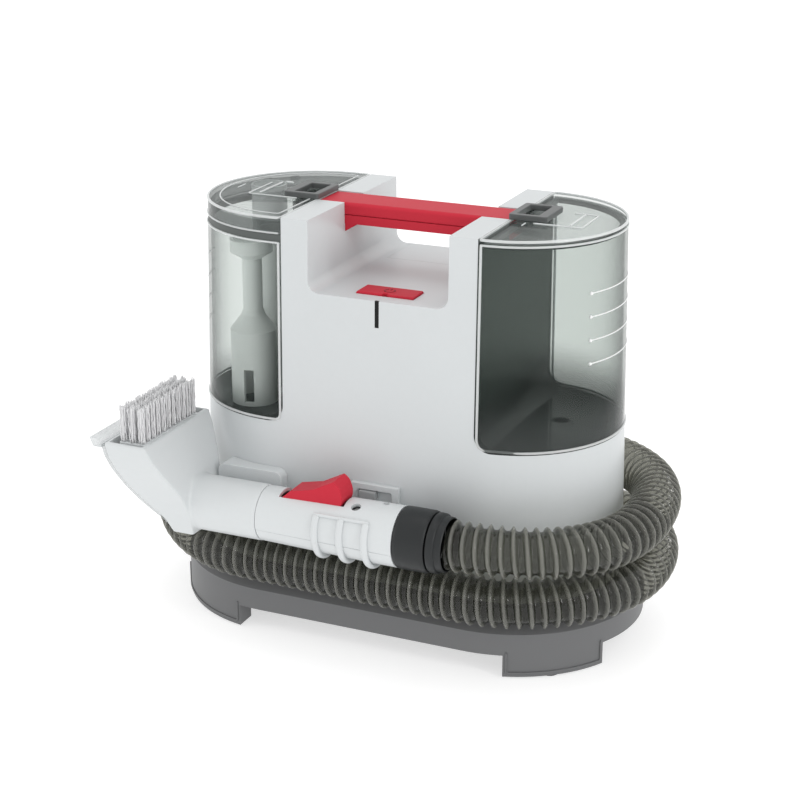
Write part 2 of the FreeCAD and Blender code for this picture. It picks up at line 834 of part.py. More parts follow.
def make_rear_fittings():
    """Hose elbow and the entry of the mains lead."""
    x, y, z = d.port_x, d.port_y, d.port_z
    radius = d.port_radius
    barrel = cylinder("port_barrel", (x - 16, y, z), radius, d.port_face - x + 16, "X")
    neck = cylinder("port_neck", (x, 68, z), 10.8, y - 68, "Y")
    barrel_room = cylinder("port_room", (x - 13, y, z), d.hose_radius - d.hose_wall, 60, "X")
    neck_room = cylinder("port_neck_room", (x, 50, z), 9.2, y - 50, "Y")
    node("hose_port", cut("hose_port", fuse("port_whole", barrel, neck), barrel_room, neck_room))

    collar = cylinder("gland_collar", (62, 68, 138), 5.9, 12, "Y")
    flange = cylinder("gland_flange", (62, end_radius(138), 138), 9, 3, "Y")
    nose = cone("gland_nose", (62, end_radius(138) + 3, 138), 7, 5, 9, "Y")
    bore = cylinder("gland_bore", (62, 60, 138), 3.4, 50, "Y")
    whole = fuse("gland_whole", collar, flange, nose)
    node("cord_gland", cut("cord_gland", whole, bore, outer_gland_wall()))


def outer_gland_wall():
    """Wall ring round the gland, so that its flange sits flush on the drafted wall."""
    block = box("gland_wall_block", (40, 84), (60, 90), (116, 160))
    skin = common("gland_wall_skin", outer_form, block)
    hole = cylinder("gland_wall_hole", (62, 50, 138), 5.9, 60, "Y")
    return cut("gland_wall", skin, hole)


make_motor()
make_pump()
make_ducts()
make_rear_fittings()


# -------------------------------------------------------------------------------------- tanks

def tank_shell(name, side, rim):
    """Open-topped tank that carries on the body's drafted wall."""
    gap = d.part_gap
    floor = d.shelf_height + 0.1
    solid = common(name + "_solid", outer_form, well(name + "_space", side, gap, floor, rim))
    wall = d.tank_wall
    hollow = well(name + "_hollow", side, gap + wall, floor + wall, FAR * 1.3)
    room = common(name + "_room", tank_form, hollow)
    return cut(name + "_shell", solid, room)


def lid_plan(name, side, low, high, form):
    gap = d.part_gap
    if side > 0:
        block = box(name, (column_right + gap, FAR), (-FAR, FAR), (low, high))
    else:
        block = box(name, (-FAR, column_left - gap), (-FAR, FAR), (low, high))
    return common(name + "_plan", form, block)


def ring_span(side):
    """X range of a latch ring, from the column outward."""
    if side > 0:
        return column_right - 0.5, column_right - 0.5 + d.ring_length
    return column_left + 0.5 - d.ring_length, column_left + 0.5


def finger_room(name, side, grow, low, high):
    """Space under the hole of a latch ring."""
    near, far = ring_span(side)
    bar = d.ring_bar - grow
    half = d.ring_half_width - bar
    if side > 0:
        x_range = (near + bar + 0.8, far - bar - d.ring_slide)
    else:
        x_range = (near + bar + d.ring_slide, far - bar - 0.8)
    return box(name, x_range, (-half, half), (low, high))


def latch(label, side):
    near, far = ring_span(side)
    half = d.ring_half_width
    low = d.top_height + 0.2
    top = low + d.ring_height
    plate = box(label + "_plate", (near, far), (-half, half), (low, top))
    hole = finger_room(label + "_hole", side, 0, low - 1, top + 1)

    def upright(point, direction):
        return abs(direction.z) > 0.9

    return node(label, cut(label, rounded(label + "_soft", plate, 2, upright), hole))


def make_clean_tank():
    x = d.neck_x
    shell = tank_shell("clean", 1, d.top_height - d.lid_plate)
    neck = cylinder("neck", (x, 0, 141), d.neck_radius, d.shelf_height - 140)
    drain = cylinder("neck_bore", (x, 0, 130), 6, 27.5)
    node("clean_tank", cut("clean_tank", fuse("clean_whole", shell, neck), drain))

    plate = lid_plan("clean_plate", 1, d.top_height - d.lid_plate + 0.1, d.top_height, outer_form)
    tub = finger_room("clean_tub", 1, 1.5, 290, d.top_height)
    room = finger_room("clean_tub_room", 1, 0, 291.5, FAR * 1.3)
    lid = cut("clean_lid", fuse("clean_lid_whole", plate, tub), room)
    node("clean_tank_lid", lid)
    top = d.top_height - d.lid_plate
    shift = d.tank_wall + 0.2
    flat = column_right + d.part_gap + shift
    seal_block = lid_plan("seal_block", 1, top - 3.5, top - 0.2, envelope("seal_form", shift))
    seal_x = box("seal_side", (flat, FAR), (-FAR, FAR), (top - 4, top))
    seal_band = common("seal_band", seal_block, seal_x)
    inner_x = box("seal_inner_side", (flat + 3, FAR), (-FAR, FAR), (top - 5, top + 5))
    seal_inner = common("seal_inner", envelope("seal_room", shift + 3), inner_x)
    seal_gap = finger_room("seal_gap", 1, 1.7, top - 9, top + 9)
    node("clean_lid_seal", cut("clean_lid_seal", seal_band, seal_inner, seal_gap))
    latch("clean_tank_latch", 1)

    node("tank_valve_cap", ring("tank_valve_cap", (x, 0, 138.5), d.neck_radius, 2.8, 2.4))
    stem = cylinder("plunger_stem", (x, 0, 136.6), 2.3, 8)
    head = cylinder("plunger_head", (x, 0, 141.2), 5, 2)
    node("tank_valve_plunger", fuse("tank_valve_plunger", stem, head))
    node("tank_valve_spring", ring("tank_valve_spring", (x, 0, 144.6), 4.5, 3.5, 6))
    cup = cylinder("seat_cup", (x, 0, 129), 11, d.shelf_height - 129)
    room = cylinder("seat_room", (x, 0, 132), d.neck_radius + 0.5, 40)
    drain = cylinder("seat_drain", (x, 0, 120), 2.8, 20)
    post = cylinder("seat_post", (x + 5.5, 0, 131), 1.2, 5)
    node("valve_seat", fuse("valve_seat", cut("seat_shell", cup, room, drain), post))


def make_dirty_tank():
    rim = d.dirty_rim
    shell = tank_shell("dirty", -1, rim)
    inlet = cylinder("dirty_inlet", (-110, 0, 140), 10.8, 25)
    outlet = cylinder("dirty_outlet", (-95, 38, 140), 8, 25)
    node("dirty_tank", cut("dirty_tank", shell, inlet, outlet))

    gap = d.part_gap
    seat = rim + 0.1
    band = lid_plan("gasket_band", -1, seat, seat + d.gasket_height - 0.2, envelope("gasket_form", 0.6))
    deep = box("gasket_side", (-FAR, column_left - gap - 3.4), (-FAR, FAR), (seat - 5, seat + 10))
    inner = common("gasket_inner", envelope("gasket_room", 4), deep)
    node("dirty_lid_gasket", cut("dirty_lid_gasket", band, inner))

    low = rim + d.gasket_height
    cap = lid_plan("dirty_cap", -1, low, d.top_height, outer_form)
    cap_x = (-FAR, column_left - gap - 2)
    cap_side = box("cap_side", cap_x, (-FAR, FAR), (low - 1, d.top_height - d.lid_plate))
    cap_room = common("cap_room", tank_form, cap_side)
    tub = finger_room("dirty_tub", -1, 1.5, 290, d.top_height)
    room = finger_room("dirty_tub_room", -1, 0, 291.5, FAR * 1.3)
    whole = fuse("dirty_lid_whole", cut("cap", cap, cap_room), tub)
    node("dirty_tank_lid", cut("dirty_tank_lid", whole, room))
    latch("dirty_tank_latch", -1)

    column = new_body("separator_form")
    floor = d.shelf_height + d.tank_wall + 0.2
    outline = [
        (12.5, floor), (22, floor), (22, 205), (12, 224), (12, 272), (9.8, 272), (9.8, 223), (12.5, 210),
    ]
    revolve(column, "XZ_Plane", 0, outline)
    place(column, -110, 0, 0)
    bottle = new_body("bottle_form")
    bottle_x, bottle_y = -102, -47
    outline = [
        (14, floor), (16.4, floor), (16.4, 211), (8.6, 221), (7, 226), (7, 262), (15, 267), (15, 276),
        (12.6, 276), (12.6, 268.6), (4.6, 263.6), (4.6, 225), (6.6, 219.4), (14, 210),
    ]
    revolve(bottle, "XZ_Plane", 0, outline)
    place(bottle, bottle_x, bottle_y, 0)
    slits = (
        box("separator_slit", (-140, -110), (-5, 5), (floor + 4, floor + 24)),
        box("bottle_slit", (bottle_x, bottle_x + 7), (-68, bottle_y), (floor + 3, floor + 27)),
    )
    riser = ring("riser", (-95, 38, floor), 7.6, 6, 262 - floor)
    foot = box("riser_foot", (-112, -88), (bottle_y, 38), (floor, floor + 2))
    foot_holes = (
        cylinder("foot_hole", (-95, 38, 150), 6, 20),
        cylinder("foot_hole", (-110, 0, 150), 20, 20),
        cylinder("foot_hole", (bottle_x, bottle_y, 150), 15, 20),
    )
    plate = cut("separator_foot", foot, *foot_holes)
    body = fuse("separator_whole", column, plate, riser, bottle)
    node("separator_insert", cut("separator_insert", body, *slits))
    x, y = -126, 27
    cage = cylinder("cage_block", (x, y, 236), 13, d.top_height - d.lid_plate - 236)
    cage_room = cylinder("cage_room", (x, y, 238.2), 11.4, 80)
    windows = [
        box("cage_window", (x - 4, x + 4), (y - 18, y + 18), (244, 272)),
        box("cage_window", (x - 17, x + 17), (y - 4, y + 4), (244, 272)),
    ]
    node("float_cage", cut("float_cage", cage, cage_room, *windows))
    node("tank_float", cylinder("tank_float", (x, y, 238.5), 10.8, 20))


make_clean_tank()
make_dirty_tank()


# ----------------------------------------------------------------------------- hose and tool

def along_tool(name, start, end, radius):
    """A cylinder on the tool's axis."""
    return cylinder(name, (start, d.tool_y, d.tool_z), radius, end - start, "X")


def make_grip():
    """Two half shells of the tool's grip, with three finger ribs below."""
    start, end = d.grip_start, d.grip_end
    radius = d.tool_radius
    barrel = cut(
        "grip_barrel",
        along_tool("grip_outer", start, end, radius),
        along_tool("grip_inner", start - 1, end + 1, radius - d.tool_wall),
    )
    upper_half = box("upper_half", (start, end), (-FAR, 0), (d.tool_split + 0.1, 200))
    lower_half = box("lower_half", (start, end), (-FAR, 0), (0, d.tool_split))
    y = d.tool_y
    slot = box("trigger_slot", (-48.5, 0.4), (y - 9.4, y + 9.4), (d.tool_z + 8, 200))
    screws = []
    recesses = []
    for x, angle, head in ((9, 22, 3.0), (27, -5, 1.8)):
        tilt = Rotation(Vector(1, 0, 0), angle)
        outward = tilt.multVec(Vector(0, 0, 1))
        seat = Vector(x, float(y), float(d.tool_z)) + outward * 12
        for store, size, length in ((screws, head, 5.0), (recesses, head + 0.4, 16.0)):
            piece = doc.addObject("Part::Cylinder", "grip_screw")
            piece.Radius = size
            piece.Height = length
            piece.Placement = FreeCAD.Placement(seat, tilt)
            store.append(piece)
    node("tool_screws", group("tool_screws", *screws))
    upper = common("upper_shell", barrel, upper_half)
    node("tool_upper_shell", cut("tool_upper_shell", upper, slot, *recesses))
    ribs = []
    for x in (-16, 2, 20):
        rib = ring("rib", (x - 1.5, y, d.tool_z), radius + 2.4, radius - 0.5, 3, "X")
        zone = box("rib_zone", (x - 3, x + 3), (-FAR, 0), (0, d.tool_split))
        ribs.append(common("rib_low", rib, zone))
    lower = common("lower_shell", barrel, lower_half)
    node("tool_lower_shell", fuse("tool_lower_shell", lower, *ribs))


def make_trigger():
    y = d.tool_y
    lever = new_body("trigger_form")
    outline = [
        (-47.5, 111), (-6, 111), (-2.5, 117), (-2.2, 128.5, 13), (-7.5, 134.6, 9),
        (-23, 126.5), (-39.5, 123), (-47.5, 116),
    ]
    pad(lever, "XZ_Plane", -y - 9, 18, outline)
    hole = cylinder("pin_hole", (-42, y - 20, 114), 1.6, 40, "Y")
    node("spray_trigger", cut("spray_trigger", lever, hole))
    node("trigger_pin", cylinder("trigger_pin", (-42, y - 9.5, 114), 1.5, 19, "Y"))
    node("trigger_spring", ring("trigger_spring", (-12, y, 98.2), 3.4, 2.4, 7))
    valve = cylinder("valve_block", (-34, y, 91), 6.5, 40, "X")
    inlet = cylinder("valve_inlet", (6, y, 91), 3, 20, "X")
    node("spray_valve", fuse("spray_valve", valve, inlet))


def fan_section(left, right, half):
    y = d.tool_y
    return rectangle((left, right), (y - half, y + half))


def make_nozzle():
    """Fan-shaped suction mouth that turns up from the grip, with its clear window."""
    y, z = d.tool_y, d.tool_z
    top = d.mouth_height
    half = d.mouth_half_width
    low = 84.0
    fan = new_body("fan_form")
    loft(fan, "AdditiveLoft", [
        (low, fan_section(-141, -116, 17)),
        (top, fan_section(d.mouth_left, d.mouth_right, half)),
    ])
    stem = along_tool("stem", -128, d.grip_start - 0.2, d.tool_radius + 0.4)
    toe = box("stem_toe", (-139, -116), (y - 17, y + 17), (z - d.tool_radius, low + 4))
    room = new_body("fan_room")
    loft(room, "AdditiveLoft", [
        (low + 3, fan_section(-139, -119, 14)),
        (top + 1, fan_section(d.mouth_left + 3, d.mouth_right - 3, half - 3)),
    ])
    bore = along_tool("stem_bore", -126, d.grip_start + 1, d.tool_radius - d.tool_wall)
    node("nozzle_head", cut("nozzle_head", fuse("nozzle_whole", fan, stem, toe), room, bore))

    window = new_body("window_form")
    loft(window, "AdditiveLoft", [
        (low + 2, fan_section(-144.5, -142.2, 17)),
        (top - 3.8, fan_section(d.mouth_left - 3.5, d.mouth_left - 0.6, half)),
    ])
    lip = new_body("lip_form")
    loft(lip, "AdditiveLoft", [
        (top - 3.8, fan_section(d.mouth_left - 6, d.mouth_left - 0.4, half)),
        (top + 2, fan_section(d.mouth_left - 9, d.mouth_left - 4, half)),
    ])
    node("nozzle_window", fuse("nozzle_window", window, lip))

    bar = box("bristle_bar", (-153.7, -134), (y - 39.1, y + 33.4), (top - 5, top))
    tufts = []
    for row in (-151, -143.9, -136.8):
        for step in range(11):
            place_y = y - 36.8 + 6.8 * step
            tufts.append(cylinder("tuft", (row, place_y, top), 2.2, d.bristle_length))
    node("bristle_bar", bar)
    node("bristle_tufts", group("bristle_tufts", *tufts))
    tip = cylinder("tip_block", (-157.2, y, top - 6), 2.8, 7)
    node("spray_tip", tip)


def make_hose():
    node("hose", tube("hose", HOSE_ROUTE, d.hose_radius, d.hose_wall, report="hose"))
    y, z = d.tool_y, d.tool_z
    radius = d.tool_radius
    cuff = along_tool("cuff_outer", d.grip_end + 0.3, d.cuff_end, radius + 0.3)
    cuff_room = along_tool("cuff_inner", d.grip_end - 1, d.cuff_end + 1, radius - d.tool_wall)
    node("hose_cuff", cut("hose_cuff", cuff, cuff_room))
    length = d.collar_end - d.cuff_end - 0.3
    collar = cone("collar_outer", (d.cuff_end + 0.3, y, z), radius, radius - 2, length, "X")
    collar_room = along_tool("collar_inner", d.cuff_end - 1, d.collar_end + 1, d.hose_radius - d.hose_wall)
    node("hose_collar", cut("hose_collar", collar, collar_room))


make_grip()
make_trigger()
make_nozzle()
make_hose()


# ------------------------------------------------------------------------------------- export

def check_and_export():
    doc.recompute()
    broken = [obj.Name for obj in doc.Objects if {"Invalid", "Error"} & set(obj.State)]
    if broken:
        raise RuntimeError("objects failed: " + ", ".join(broken))
    os.makedirs("parts", exist_ok=True)
    for part in nodes:
        shape = part.Shape
        if shape.isNull() or not shape.isValid() or not shape.Solids:
            raise RuntimeError(part.Label + " has no valid solid")
    for part in nodes:
        part.Shape.exportStep("parts/%s.step" % part.Label)
    print(len(nodes), "sub-parts written")


check_and_export()
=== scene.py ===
import json
import math
import random

import bmesh
import bpy
from mathutils import Matrix, Vector


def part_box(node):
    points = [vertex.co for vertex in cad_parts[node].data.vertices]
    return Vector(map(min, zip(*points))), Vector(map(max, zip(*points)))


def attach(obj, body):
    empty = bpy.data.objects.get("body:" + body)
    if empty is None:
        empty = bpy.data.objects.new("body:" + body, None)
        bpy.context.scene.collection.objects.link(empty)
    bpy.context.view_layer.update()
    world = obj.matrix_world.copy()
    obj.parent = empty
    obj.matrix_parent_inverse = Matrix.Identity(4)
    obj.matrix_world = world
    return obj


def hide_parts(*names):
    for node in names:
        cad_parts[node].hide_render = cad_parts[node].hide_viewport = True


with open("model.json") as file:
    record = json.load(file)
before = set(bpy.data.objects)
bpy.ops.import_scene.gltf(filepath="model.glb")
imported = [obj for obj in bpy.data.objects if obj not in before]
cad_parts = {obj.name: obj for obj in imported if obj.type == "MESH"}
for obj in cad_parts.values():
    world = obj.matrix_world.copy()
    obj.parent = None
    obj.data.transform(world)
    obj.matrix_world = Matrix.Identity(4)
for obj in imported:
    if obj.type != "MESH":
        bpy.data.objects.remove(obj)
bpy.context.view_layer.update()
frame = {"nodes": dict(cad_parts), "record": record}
nodes = frame["nodes"]

# The frame: origin on the floor in the middle of the oval body, +X to the clean tank,
# -Y to the front, +Z up. Lengths below are in millimetres unless they say otherwise.
MM = 0.001
AXIS_X = 78.0            # the body's round ends turn about (+-78, 0)
TOP_RADIUS = 73.4        # of the round ends, at the height TOP_Z
TOP_Z = 300.0
DRAFT = 0.0227           # how much wider the body is for each millimetre down
TRAY_RADIUS = 95.5
TOOL_Y, TOOL_Z = -108.0, 100.0    # the tool's axis, which runs along X
TOOL_RADIUS = 21.0
TOOL_TAPER = 0.085       # share by which the barrel is thinner at the nozzle
TAPER_START, TAPER_LENGTH = 22.0, 80.0


def mm(x, y, z):
    """A place in metres from one in millimetres."""
    return Vector((x * MM, y * MM, z * MM))


def tool_radius(x):
    """Radius of the tool's barrel, which narrows a little towards the nozzle."""
    along = min(1.0, max(0.0, (TAPER_START - x) / TAPER_LENGTH))
    return TOOL_RADIUS * (1 - TOOL_TAPER * along)


def wall_radius(z):
    """Radius of the body's round ends at a height; the walls lean inward as they rise."""
    return TOP_RADIUS + (TOP_Z - z) * DRAFT


# ------------------------------------------------------------------------------ camera

AZIMUTH = math.radians(23.72)
ELEVATION = math.radians(19.57)
EYE = mm(483.9, -1123.8, 590.9)
LENS = 81.48
SENSOR_WIDTH = 36.0


def make_camera():
    """The photograph's view, found by fitting the body's outlines."""
    data = bpy.data.cameras.new("camera")
    data.lens = LENS
    data.sensor_width = SENSOR_WIDTH
    data.clip_start = 0.05
    data.clip_end = 50.0
    camera = bpy.data.objects.new("camera", data)
    bpy.context.scene.collection.objects.link(camera)
    back = Vector((
        math.sin(AZIMUTH) * math.cos(ELEVATION),
        -math.cos(AZIMUTH) * math.cos(ELEVATION),
        math.sin(ELEVATION),
    ))
    right = Vector((math.cos(AZIMUTH), math.sin(AZIMUTH), 0))
    up = back.cross(right)
    turn = Matrix((right, up, back)).transposed().to_4x4()
    camera.matrix_world = Matrix.Translation(EYE) @ turn
    bpy.context.scene.camera = camera


make_camera()


# ------------------------------------------------------------------------ mesh helpers

WELD = 0.02              # points nearer than this are one point
FLAT_ENOUGH = 0.6        # degrees between two faces that are merged into one
SHARP_EDGE = 32          # degrees between two faces whose edge is rounded
CORNER_STEPS = 6         # runs in a rounded corner of a line
BLUNT = 0.12             # share of a bead's radius that is left at its very tip
TIP_STEPS = (0, 0.08, 0.3, 0.6)   # points on a bead's round tip, in radii from its end


def new_object(name, mesh):
    """Put a mesh or a curve in the scene."""
    obj = bpy.data.objects.new(name, mesh)
    bpy.context.scene.collection.objects.link(obj)
    return obj


def from_bmesh(name, bm):
    """A smooth-shaded object made of a bmesh, which this frees."""
    mesh = bpy.data.meshes.new(name)
    bm.normal_update()
    bm.to_mesh(mesh)
    bm.free()
    for face in mesh.polygons:
        face.use_smooth = True
    return new_object(name, mesh)


def apply_modifiers(obj):
    """Replace the object's mesh by what its modifiers make of it."""
    bpy.context.view_layer.update()
    graph = bpy.context.evaluated_depsgraph_get()
    mesh = bpy.data.meshes.new_from_object(obj.evaluated_get(graph), depsgraph=graph)
    obj.modifiers.clear()
    obj.data = mesh
    return obj


def weigh_normals(obj):
    """Shade flat faces flat and let only their rounded edges turn the light."""
    for face in obj.data.polygons:
        face.use_smooth = True
    normals = obj.modifiers.new("normals", "WEIGHTED_NORMAL")
    normals.keep_sharp = True
    normals.weight = 80
    return apply_modifiers(obj)


def mark_sharp(obj, degrees):
    """Break the smooth shading at edges that turn by more than an angle."""
    bm = bmesh.new()
    bm.from_mesh(obj.data)
    limit = math.radians(degrees)
    for edge in bm.edges:
        edge.smooth = len(edge.link_faces) == 2 and edge.calc_face_angle(0) < limit
    bm.to_mesh(obj.data)
    bm.free()


def round_edges(obj, width, segments=3):
    """Round the sharp edges of a solid, as a moulding tool leaves them."""
    bm = bmesh.new()
    bm.from_mesh(obj.data)
    bmesh.ops.remove_doubles(bm, verts=bm.verts, dist=WELD * MM)
    bmesh.ops.dissolve_limit(
        bm, angle_limit=math.radians(FLAT_ENOUGH), verts=bm.verts, edges=bm.edges
    )
    bm.to_mesh(obj.data)
    bm.free()
    bevel = obj.modifiers.new("round", "BEVEL")
    bevel.width = width * MM
    bevel.segments = segments
    bevel.limit_method = "ANGLE"
    bevel.angle_limit = math.radians(SHARP_EDGE)
    bevel.harden_normals = False
    bevel.use_clamp_overlap = True
    bevel.miter_outer = "MITER_ARC"
    apply_modifiers(obj)
    return weigh_normals(obj)


def body_of(node):
    """The record's body that a sub-part belongs to."""
    for body, members in frame["record"]["behaviour"]["bodies"].items():
        if node in members:
            return body


def finish_piece(obj, material, body=None, stands_for=()):
    """Give a piece its material and the body it rides on, and hide the sub-parts it stands
    for.
    """
    obj.data.materials.clear()
    obj.data.materials.append(material)
    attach(obj, body or body_of(stands_for[0]))
    if stands_for:
        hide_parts(*stands_for)
    return obj


def softened(node, material, width, segments=3):
    """A copy of a sub-part with rounded edges, in its place."""
    obj = new_object(node + "_look", nodes[node].data.copy())
    round_edges(obj, width, segments)
    return finish_piece(obj, material, stands_for=(node,))


def tube_into(bm, line, radius_at, sides, closed=False, stretch=None):
    """Skin a tube on a line of points.

    radius_at gives its radius by distance along the line and angle round it. stretch is a
    direction and a factor, for a tube that is wider or flatter that way.
    """
    rings = []
    count = len(line)
    ahead = (line[1] - line[0]).normalized()
    side = ahead.orthogonal().normalized()
    gone = 0.0
    for index, point in enumerate(line):
        before = line[index - 1] if closed or index else line[0]
        after = line[(index + 1) % count] if closed or index + 1 < count else line[-1]
        direction = (after - before).normalized()
        side = (side - direction * side.dot(direction)).normalized()
        other = direction.cross(side)
        if index:
            gone += (point - line[index - 1]).length
        ring = []
        for k in range(sides):
            angle = 2 * math.pi * k / sides
            out = side * math.cos(angle) + other * math.sin(angle)
            place = out * radius_at(gone, angle)
            if stretch:
                place += stretch[0] * (place.dot(stretch[0]) * (stretch[1] - 1))
            ring.append(bm.verts.new(point + place))
        rings.append(ring)
    pairs = list(zip(rings, rings[1:]))
    if closed:
        pairs.append((rings[-1], rings[0]))
    for low, high in pairs:
        for k in range(sides):
            after = (k + 1) % sides
            bm.faces.new((low[k], low[after], high[after], high[k]))
    if not closed:
        bm.faces.new(list(reversed(rings[0])))
        bm.faces.new(rings[-1])


def run_length(points):
    """Length of a line of points."""
    return sum((b - a).length for a, b in zip(points, points[1:]))


def evenly(points, step):
    """The same line, with points a fixed step apart."""
    total = run_length(points)
    count = max(1, round(total / step))
    step = total / count
    out, left, here = [points[0].copy()], step, points[0]
    for after in points[1:]:
        run = (after - here).length
        while run >= left and len(out) < count:
            here = here + (after - here) * (left / run)
            out.append(here.copy())
            run = (after - here).length
            left = step
        left -= run
        here = after
    out.append(points[-1].copy())
    return out


def rounded_line(points, radius, closed=False):
    """A line through points, in millimetres, with its corners rounded."""
    points = [mm(*p) for p in points]
    count = len(points)
    out = []
    for index, corner in enumerate(points):
        if not closed and index in (0, count - 1):
            out.append(corner)
            continue
        to_before = points[index - 1] - corner
        to_after = points[(index + 1) % count] - corner
        cut = min(radius * MM, to_before.length * 0.45, to_after.length * 0.45)
        start = corner + to_before.normalized() * cut
        end = corner + to_after.normalized() * cut
        for k in range(CORNER_STEPS + 1):
            t = k / CORNER_STEPS
            out.append(start * (1 - t) ** 2 + corner * (2 * t * (1 - t)) + end * t * t)
    return out


def bead(name, line, radius, material, body, closed=False, sides=12, step=1.5,
         stretch=None):
    """A raised line of plastic with rounded ends, on a smooth run of points in metres."""
    if closed:
        line = evenly(line + [line[0]], step * MM)[:-1]
    else:
        tip = radius * MM
        run = evenly(line, step * MM)
        first, last = run[1] - run[0], run[-1] - run[-2]
        start = [run[0] + first.normalized() * (tip * k) for k in TIP_STEPS]
        end = [run[-1] - last.normalized() * (tip * k) for k in reversed(TIP_STEPS)]
        line = start + run[1:-1] + end
    total = run_length(line)

    def radius_at(gone, angle):
        if closed:
            return radius * MM
        near = min(gone, total - gone) / (radius * MM)
        if near >= 1:
            return radius * MM
        return radius * MM * max(BLUNT, math.sqrt(1 - (1 - near) ** 2))

    bm = bmesh.new()
    tube_into(bm, line, radius_at, sides, closed, stretch)
    return finish_piece(from_bmesh(name, bm), material, body)


def end_arc(side, radius, z, low=-90.0, high=90.0, count=60):
    """Points, in millimetres, round an end of the oval body, from the front to the rear."""
    out = []
    for k in range(count + 1):
        angle = math.radians(low + (high - low) * k / count)
        x = AXIS_X + radius * math.cos(angle)
        out.append((side * x, radius * math.sin(angle), z))
    return out


def lid_loop(side, radius, z, flat=None):
    """A closed line round a lid: its curved edge and its straight edge by the column.

    flat is the x of the straight edge, where it isn't the one that joins the curve's ends.
    """
    line = end_arc(side, radius, z)
    if flat:
        line += [(flat, radius, z), (flat, -radius, z)]
    return rounded_line(line, 2.5, closed=True)


# --------------------------------------------------------------------------- materials

def principled(name):
    """A new material; gives it, its node tree and its surface shader."""
    material = bpy.data.materials.new(name)
    material.use_nodes = True
    tree = material.node_tree
    return material, tree, tree.nodes["Principled BSDF"]


def add_node(tree, kind, **values):
    """A new node, with its settings or the values of its inputs given by name."""
    made = tree.nodes.new(kind)
    for key, value in values.items():
        if hasattr(made, key):
            setattr(made, key, value)
        else:
            made.inputs[key.replace("_", " ")].default_value = value
    return made


def colour_mix(tree, low, high):
    """A node that goes from one colour to another; gives its factor input and its output."""
    mix = add_node(tree, "ShaderNodeMix", data_type="RGBA")
    colours = [socket for socket in mix.inputs if socket.type == "RGBA"]
    colours[0].default_value = (*low, 1)
    colours[1].default_value = (*high, 1)
    result = next(socket for socket in mix.outputs if socket.type == "RGBA")
    return mix.inputs[0], result


def value_range(tree, source, low, high, start=0.0, end=1.0):
    """Carry a value's range from start to end over to low to high."""
    share = add_node(tree, "ShaderNodeMapRange")
    share.inputs["From Min"].default_value = start
    share.inputs["From Max"].default_value = end
    share.inputs["To Min"].default_value = low
    share.inputs["To Max"].default_value = high
    tree.links.new(source, share.inputs["Value"])
    return share.outputs["Result"]


def moulded(tree, shader, colour, roughness, grain, grain_scale, spread):
    """Uneven colour and gloss, with a fine eroded grain, as moulded plastic has."""
    place = add_node(tree, "ShaderNodeTexCoord").outputs["Object"]
    cloud = add_node(tree, "ShaderNodeTexNoise", Scale=11.0, Detail=3.0)
    speck = add_node(tree, "ShaderNodeTexNoise", Scale=260.0, Detail=2.0)
    fine = add_node(tree, "ShaderNodeTexNoise", Scale=grain_scale, Detail=2.0)
    for texture in (cloud, speck, fine):
        tree.links.new(place, texture.inputs["Vector"])
    blend = add_node(tree, "ShaderNodeMath", operation="MULTIPLY_ADD")
    blend.inputs[1].default_value = 0.3
    tree.links.new(speck.outputs["Fac"], blend.inputs[0])
    tree.links.new(cloud.outputs["Fac"], blend.inputs[2])
    gloss = value_range(tree, blend.outputs["Value"], roughness - spread, roughness + spread,
                        0.35, 0.95)
    tree.links.new(gloss, shader.inputs["Roughness"])
    low = [c * 0.95 for c in colour]
    high = [min(1.0, c * 1.03) for c in colour]
    factor, result = colour_mix(tree, low, high)
    tree.links.new(blend.outputs["Value"], factor)
    tree.links.new(result, shader.inputs["Base Color"])
    bump = add_node(tree, "ShaderNodeBump", Strength=grain, Distance=0.0002)
    tree.links.new(fine.outputs["Fac"], bump.inputs["Height"])
    tree.links.new(bump.outputs["Normal"], shader.inputs["Normal"])


def plastic(name, colour, roughness, grain=0.05, grain_scale=1400.0, metal=0.0, glow=0.0,
            gloss=0.5):
    """Opaque moulded plastic, rubber or metal; grain is how rough it feels."""
    material, tree, shader = principled(name)
    moulded(tree, shader, colour, roughness, grain, grain_scale, 0.04)
    shader.inputs["Specular IOR Level"].default_value = gloss
    shader.inputs["Metallic"].default_value = metal
    if glow:
        shader.inputs["Subsurface Weight"].default_value = glow
        shader.inputs["Subsurface Radius"].default_value = (0.004, 0.004, 0.004)
    return material


def see_through(tree, shader, through, share):
    """Mix a surface with clear passage of light; share is how much of it is surface."""
    hole = add_node(tree, "ShaderNodeBsdfTransparent")
    hole.inputs["Color"].default_value = (*through, 1)
    mix = add_node(tree, "ShaderNodeMixShader")
    tree.links.new(share, mix.inputs[0])
    tree.links.new(hole.outputs["BSDF"], mix.inputs[1])
    tree.links.new(shader.outputs["BSDF"], mix.inputs[2])
    tree.links.new(mix.outputs["Shader"], tree.nodes["Material Output"].inputs["Surface"])


def edge_on(tree, face_on, power):
    """A share that is face_on where the surface faces the eye and rises to 1 edge on."""
    tilt = add_node(tree, "ShaderNodeLayerWeight", Blend=0.5)
    rise = add_node(tree, "ShaderNodeMath", operation="POWER")
    rise.inputs[1].default_value = power
    tree.links.new(tilt.outputs["Facing"], rise.inputs[0])
    return value_range(tree, rise.outputs["Value"], face_on, 1.0)


def shade_by_height(tree, low, high):
    """A share for painted shade: 1 up to one height, in metres, fading to 0 at another."""
    place = add_node(tree, "ShaderNodeTexCoord").outputs["Object"]
    split = add_node(tree, "ShaderNodeSeparateXYZ")
    tree.links.new(place, split.inputs["Vector"])
    fade = add_node(tree, "ShaderNodeMapRange", interpolation_type="SMOOTHSTEP")
    fade.inputs["From Min"].default_value = low
    fade.inputs["From Max"].default_value = high
    fade.inputs["To Min"].default_value = 1.0
    fade.inputs["To Max"].default_value = 0.0
    tree.links.new(split.outputs["Z"], fade.inputs["Value"])
    return fade.outputs["Result"]


